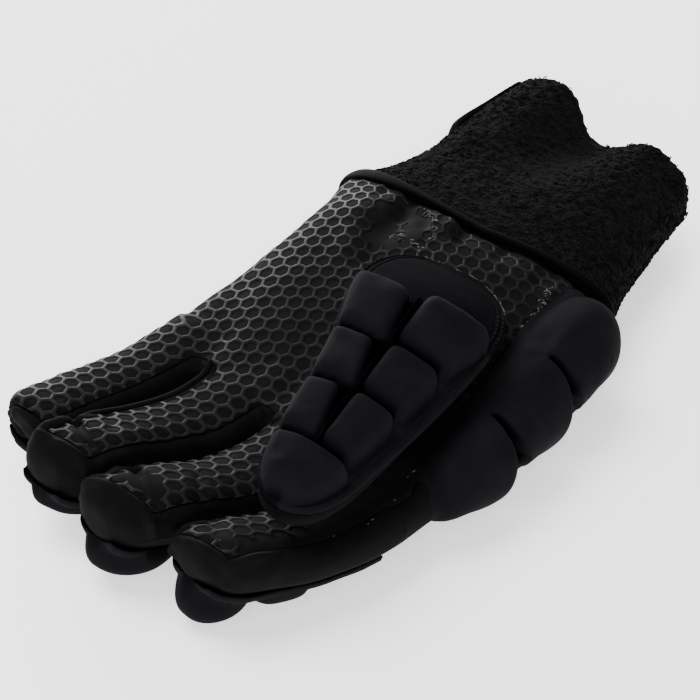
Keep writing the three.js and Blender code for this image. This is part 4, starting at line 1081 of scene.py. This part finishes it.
def thumb_sleeve():
    """The fabric tube of the thumb, closed at its tip."""
    rings, angle = span((0, THUMB.rows[-1, 0], 110), around(72))
    names = " ".join(THUMB.columns[1:])
    x, near_y, near_z, far_y, far_z, half, square, yaw, roll = THUMB(rings, names)
    near, far = np.stack([x, near_y, near_z], -1), np.stack([x, far_y, far_z], -1)
    up = (far - near) / 2
    over = across_thumb(np.radians(yaw), np.radians(roll))
    across, along = edge_at(angle, square)
    out = over * (half * across)[..., None] + up * along[..., None]
    outer = near + up + out
    normal = grid_normals(outer, wrap=True)
    normal = normal * np.where(np.sum(normal * out, -1, keepdims=True) < 0, -1, 1)
    inner = outer - normal * np.minimum(PANEL, 0.45 * half)[..., None]
    return make("thumb_sleeve", *tube(outer, inner), "side")


# Small things sewn or printed on


def beads(name, starts, ends, ups, radius, look, lift=0.12):
    """Short six-sided stitches or flecks. radius is one number or one for each."""
    run = ends - starts
    side = unit(np.cross(ups, run))
    rings = [
        ring(starts + run * share + ups * lift * scale, side, ups, scale * radius, 6, flat=0.8)
        for share, scale in ((0.0, 0.45), (0.5, 1.0), (1.0, 0.45))
    ]
    return strings(name, np.stack(rings, 1), look)


skin_tree = BVHTree.FromPolygons(skin.tolist(), skin_tris.tolist())


def on_skin(x, y):
    """The palm's point and normal straight under a place in the plan."""
    hit, normal, _, _ = skin_tree.ray_cast((x, y, 90.0), (0, 0, -1))
    if hit is None:
        return None
    return np.array(hit), np.array(normal if normal.z > 0 else -normal)


def seam_cord():
    """The raised seam on the far side of the ring finger, which turns round the end of the gap."""
    line = [(-21.5, -32.5), (-20.4, -31.6), (-18.6, -32.2), (-17.6, -35)]
    for share in np.linspace(0.1, 0.86, 14):
        line.append(finger_skin(FINGERS[1], share, -0.8, 1)[:2])
    line, count = np.array(line), 90
    run = np.concatenate([[0], np.cumsum(np.hypot(*np.diff(line, axis=0).T))])
    at = np.linspace(0, run[-1], count)
    places = zip(np.interp(at, run, line[:, 0]), np.interp(at, run, line[:, 1]))
    middle, ups = (np.array(v) for v in zip(*(on_skin(x, y) for x, y in places)))
    for _ in range(12):
        middle[1:-1] = (middle[:-2] + 2 * middle[1:-1] + middle[2:]) / 4
    middle = middle + 0.35 * ups
    along = np.gradient(middle, axis=0)
    side = unit(np.cross(along, ups))
    step = np.arange(count)
    radius = 0.95 * np.minimum(1, np.minimum(step, count - 1 - step) / 8 + 0.25)
    cord = ring(middle, side, unit(np.cross(side, along)), radius, 12)
    return strings("ring_finger_seam", cord[None], "side")


def guard_stitches():
    """Two rows of stitches down the thumb side of the guard's border and one down the other side."""
    starts, ends, ups = [], [], []
    for sign, inset, first in ((1, 0.9, 3), (1, 2.5, 6), (-1, 0.75, 4)):
        a = np.arange(first, 95, 2.1)
        for b, out in ((a, starts), (a + 1.5, ends)):
            z, left, right, arch = THUMB_GUARD(b, "z left right arch")
            width = right if sign > 0 else left
            side = sign * (width - inset)
            base, up = thumb_frame(b, side, z, arch, side / width)
            out.append(base + up * (RIM + 0.02))
        ups.append(np.tile(up, (len(a), 1)))
    beads("thumb_guard_stitches", *(np.concatenate(v) for v in (starts, ends, ups)), 0.26, "thread")


def rim_flecks():
    """Cut ends of the print along the upper edge of the thumb's guard."""
    rng = np.random.default_rng(4)
    count = 95
    fine = np.linspace(-9.6, 14, 200)
    left, right = THUMB_GUARD(fine, "left right")
    at = np.sort(rng.uniform(-18, 15.5, count))
    out = []
    for step in (0, rng.uniform(0.3, 1.2, count)):
        side = at + step
        a = np.where(side < 0, np.interp(-side, left, fine), np.interp(side, right, fine))
        z, wide_left, wide_right, arch = THUMB_GUARD(a, "z left right arch")
        share = side / np.where(side < 0, wide_left, wide_right)
        base, up = thumb_frame(a + rng.uniform(-0.1, 0.5, count), side, z, arch, share)
        out.append(base + up * (RIM + rng.uniform(-0.7, 0.1, count))[:, None])
    radii = rng.uniform(0.08, 0.18, count)
    return beads("guard_flecks", *out, np.tile(up, (count, 1)), radii, "guard_fleck", lift=0.1)


def print_flecks():
    """Cut ends of the print along the seams of the thumb's and the side guard."""
    rng = np.random.default_rng(3)
    starts, ends, ups, radii = [], [], [], []
    for line, count in FLECK_LINES:
        line = np.array(line, float)
        for t in np.sort(rng.uniform(0, len(line) - 1.001, count)):
            i = int(t)
            along = unit(line[i + 1] - line[i])
            p = line[i] * (1 - t + i) + line[i + 1] * (t - i) + rng.normal(0, 0.45, 2)
            turn = rng.normal(0, 0.6)
            d = np.array([along[0] - turn * along[1], along[1] + turn * along[0]]) * rng.uniform(0.3, 1.4)
            a, b = on_skin(*p), on_skin(*(p + d))
            if a is None or b is None:
                continue
            starts.append(a[0] + a[1] * 0.25)
            ends.append(b[0] + b[1] * 0.25)
            ups.append(a[1])
            radii.append(rng.uniform(0.1, 0.26))
    args = (np.array(v) for v in (starts, ends, ups, radii))
    return beads("print_flecks", *args, "print_fleck", lift=0.05)


def terry_loops():
    """Short standing loops of yarn all over the cuff."""
    rng = np.random.default_rng(8)
    count = 4200
    y, angle = rng.uniform(59.5, 133.4, count), rng.uniform(0, 2 * np.pi, count)
    base = cuff_point(y, angle)
    dy, da = cuff_point(y + 0.5, angle) - base, cuff_point(y, angle + 0.02) - base
    normal = unit(np.cross(dy, da))
    middle = np.stack([0 * y - 5, y, 0 * y + 20], -1)
    normal *= np.sign(np.sum(normal * (base - middle), -1, keepdims=True))
    turn = rng.uniform(0, np.pi, count)[:, None]
    dy = unit(dy)
    along = np.cos(turn) * dy + np.sin(turn) * np.cross(normal, dy)
    lean = unit(normal + 0.5 * np.cross(along, normal) * rng.uniform(-1, 1, count)[:, None])
    width, height = rng.uniform(0.35, 0.8, count)[:, None], rng.uniform(0.3, 0.62, count)[:, None]
    side = np.cross(along, lean)
    rings = []
    for t in np.linspace(0, np.pi, 5):
        centre = base - normal * 0.15 + along * width * math.cos(t) + lean * height * math.sin(t)
        rings.append(ring(centre, along * math.cos(t) + lean * math.sin(t), side, 0.2, 3))
    return strings("cuff_loops", np.stack(rings, 1), "terry")


# Cuff


def cuff_point(y, angle, lift=0.0):
    left, right, low, high, dip = CUFF(y, "left right low high dip")
    over, up = edge_at(angle)
    middle, half = (left + right) / 2, (right - left) / 2
    reach = CUFF_REACH * smooth(-15, -32, middle + half * over) * smooth(80, CUFF_END, y)
    x = middle + (half + lift) * over
    sag = dip * bell(x - SAG_X, SAG_WIDTH) + 1.2 * smooth(6, 20, x) * smooth(105, CUFF_END, y)
    z = (low + high) / 2 + ((high - low) / 2 + lift) * up - sag * np.maximum(0, up)
    return np.stack([x, y + seam_swing(x, y) + reach, z], -1)


def cuff():
    """A towelling tube, open at its end, with pile outside."""
    walls = []
    for rows in (150, 16):
        yy, aa = span((CUFF_START, CUFF_END, rows), around(400))
        points = cuff_point(yy, aa)
        walls += [points, -grid_normals(points, wrap=True), (1 - smooth(0, 2.5, CUFF_END - yy)) ** 2]
    outer, normal, end = walls[:3]
    pile = 0.42 * value_noise(outer, 0.9, 5) + 0.4 * value_noise(outer, 1.9, 6)
    pile = pile + 0.35 * value_noise(outer, 8, 7)
    outer = outer + normal * (pile - 0.9 * end)[..., None]
    inner, normal, end = walls[3:]
    inner = inner - normal * (TERRY - 1.2 * end)[..., None]
    return make("cuff", *tube(outer, inner), "terry")


def binding():
    """The rolled edge over the seam of the cuff and the hand. Its inner half reaches into the seam."""
    t, aa = span(around(24), around(240))
    ulnar = smooth(-0.1, -0.85, np.sin(aa))
    width, thick = 1.15 + 1.7 * ulnar, 0.55 + 0.5 * ulnar
    lift = 0.3 + thick * (1 + np.maximum(0, np.sin(t))) + np.where(np.sin(t) < 0, 2.6 * np.sin(t), 0)
    y = np.full_like(t, CUFF.rows[0, 0])
    points = cuff_point(y, aa, lift)
    points[..., 1] = BINDING_Y + width * np.cos(t) + seam_swing(points[..., 0], y)
    faces = grid_quads(len(t) + 1, t.shape[1], wrap=True) % t.size
    return make("wrist_binding", points.reshape(-1, 3), faces, "binding")


def strap():
    """The flat strap round the far side of the cuff. Its end carries a paler woven edge."""
    first, last, columns = 101, 130, 90
    yy, degrees = span((first, last, 24), (150, 298, columns))
    away = 1.1 * smooth(225, 262, degrees) * smooth(117, 102, yy)  # it stands off the cuff near its end
    lower = cuff_point(yy, np.radians(degrees), 0.1)
    edge = np.minimum(smooth(0, 1.0, yy - first), smooth(0, 1.0, last - yy))
    normal = unit(cuff_point(yy, np.radians(degrees), 1.1) - lower)
    upper = lower + normal * (0.8 + 0.5 * edge + away)[..., None]
    points, faces = slab(lower, upper)
    band = make("closure_strap", points, faces, "strap")
    band.data.materials.append(STRAP_EDGE)
    pale = np.zeros((len(yy) - 1, columns - 1), dtype=np.int32)
    pale[:, -3:] = 1
    index = np.zeros(len(faces), dtype=np.int32)
    index[pale.size : 2 * pale.size] = pale.ravel()
    band.data.polygons.foreach_set("material_index", index)
    return band


thumb_guard()
side_guard()
for finger in FINGERS:
    finger_guard(finger)
back_guard()
guard_stitches()

# The cloth pieces, with the size that each was cut to, in metres and square metres.
cuff_piece = cuff()
print_flecks()
rim_flecks()
cuts = [(0.052, 0.054, 0.0024), (0.062, 0.064, 0.0037), (0.060, 0.064, 0.0035), (0.056, 0.060, 0.0029)]
for i, (width, length, area) in enumerate(cuts):
    [seam_cord()] if i == 1 else []
thumb_sleeve()
terry_loops()
binding()
strap()

# Floor, light and camera

FLOOR_HALF = 3.0  # metres
# Name, direction from the glove, distance and diameter in metres, and watts of each light.
LIGHTS = [
    ("back", (-0.88, 0.42, 0.16), 1.5, 1.0, 50),
    ("top", (-0.2, -0.2, 1), 1.7, 1.1, 38),
    ("front", (0.55, -0.8, 0.75), 1.8, 1.4, 24),
]
AZIMUTH, ELEVATION, DISTANCE = math.radians(45), math.radians(40), 620.0  # the camera's, in mm
PIXELS, FOCAL, SENSOR = 700, 2139.0, 36  # the image's width, the focal length in pixels, sensor in mm
TARGET, TARGET_PIXEL = np.array([0, 0, 28.0]), (338.0, 338.0)


def aim(obj, right, up, back, position):
    """Turns a camera or light, which look against back, and puts it in its place."""
    rows = [(right[i], up[i], back[i], position[i]) for i in range(3)]
    obj.matrix_world = Matrix(rows + [(0, 0, 0, 1)])


def stage():
    mesh = bpy.data.meshes.new("floor")
    corners = [(x * FLOOR_HALF, y * FLOOR_HALF, 0) for x, y in ((-1, -1), (1, -1), (1, 1), (-1, 1))]
    mesh.from_pydata(corners, [], [(0, 1, 2, 3)])
    white = dict(Base_Color=(0.93, 0.93, 0.93, 1), Emission_Color=(1, 1, 1, 1), Emission_Strength=1.0)
    mesh.materials.append(Nodes("floor", Roughness=0.9, **white).material)
    add("floor", mesh)


def area_light(name, direction, distance, size, energy):
    light = bpy.data.lights.new(name, "AREA")
    light.shape, light.size, light.energy = "DISK", size, energy
    back = unit(np.array(direction, float))
    right = unit(np.cross([0, 0, 1.0], back))
    aim(add(name, light), right, np.cross(back, right), back, np.array([0, 0, 0.03]) + back * distance)


def camera():
    flat = math.cos(ELEVATION)
    back = np.array([math.sin(AZIMUTH) * flat, -math.cos(AZIMUTH) * flat, math.sin(ELEVATION)])
    right = np.array([math.cos(AZIMUTH), math.sin(AZIMUTH), 0])
    up = np.cross(back, right)
    off = (TARGET_PIXEL[0] - PIXELS / 2) * right - (TARGET_PIXEL[1] - PIXELS / 2) * up
    data = bpy.data.cameras.new("camera")
    data.sensor_width, data.lens = SENSOR, FOCAL * SENSOR / PIXELS
    obj = add("camera", data)
    aim(obj, right, up, back, place(TARGET - off * DISTANCE / FOCAL + back * DISTANCE))
    bpy.context.scene.camera = obj


stage()
for light in LIGHTS:
    area_light(*light)
camera()
world = bpy.data.worlds.new("world")
bpy.context.scene.world = world
world.use_nodes = True
background = world.node_tree.nodes["Background"].inputs
background[0].default_value, background[1].default_value = (1, 1, 1, 1), 0.45
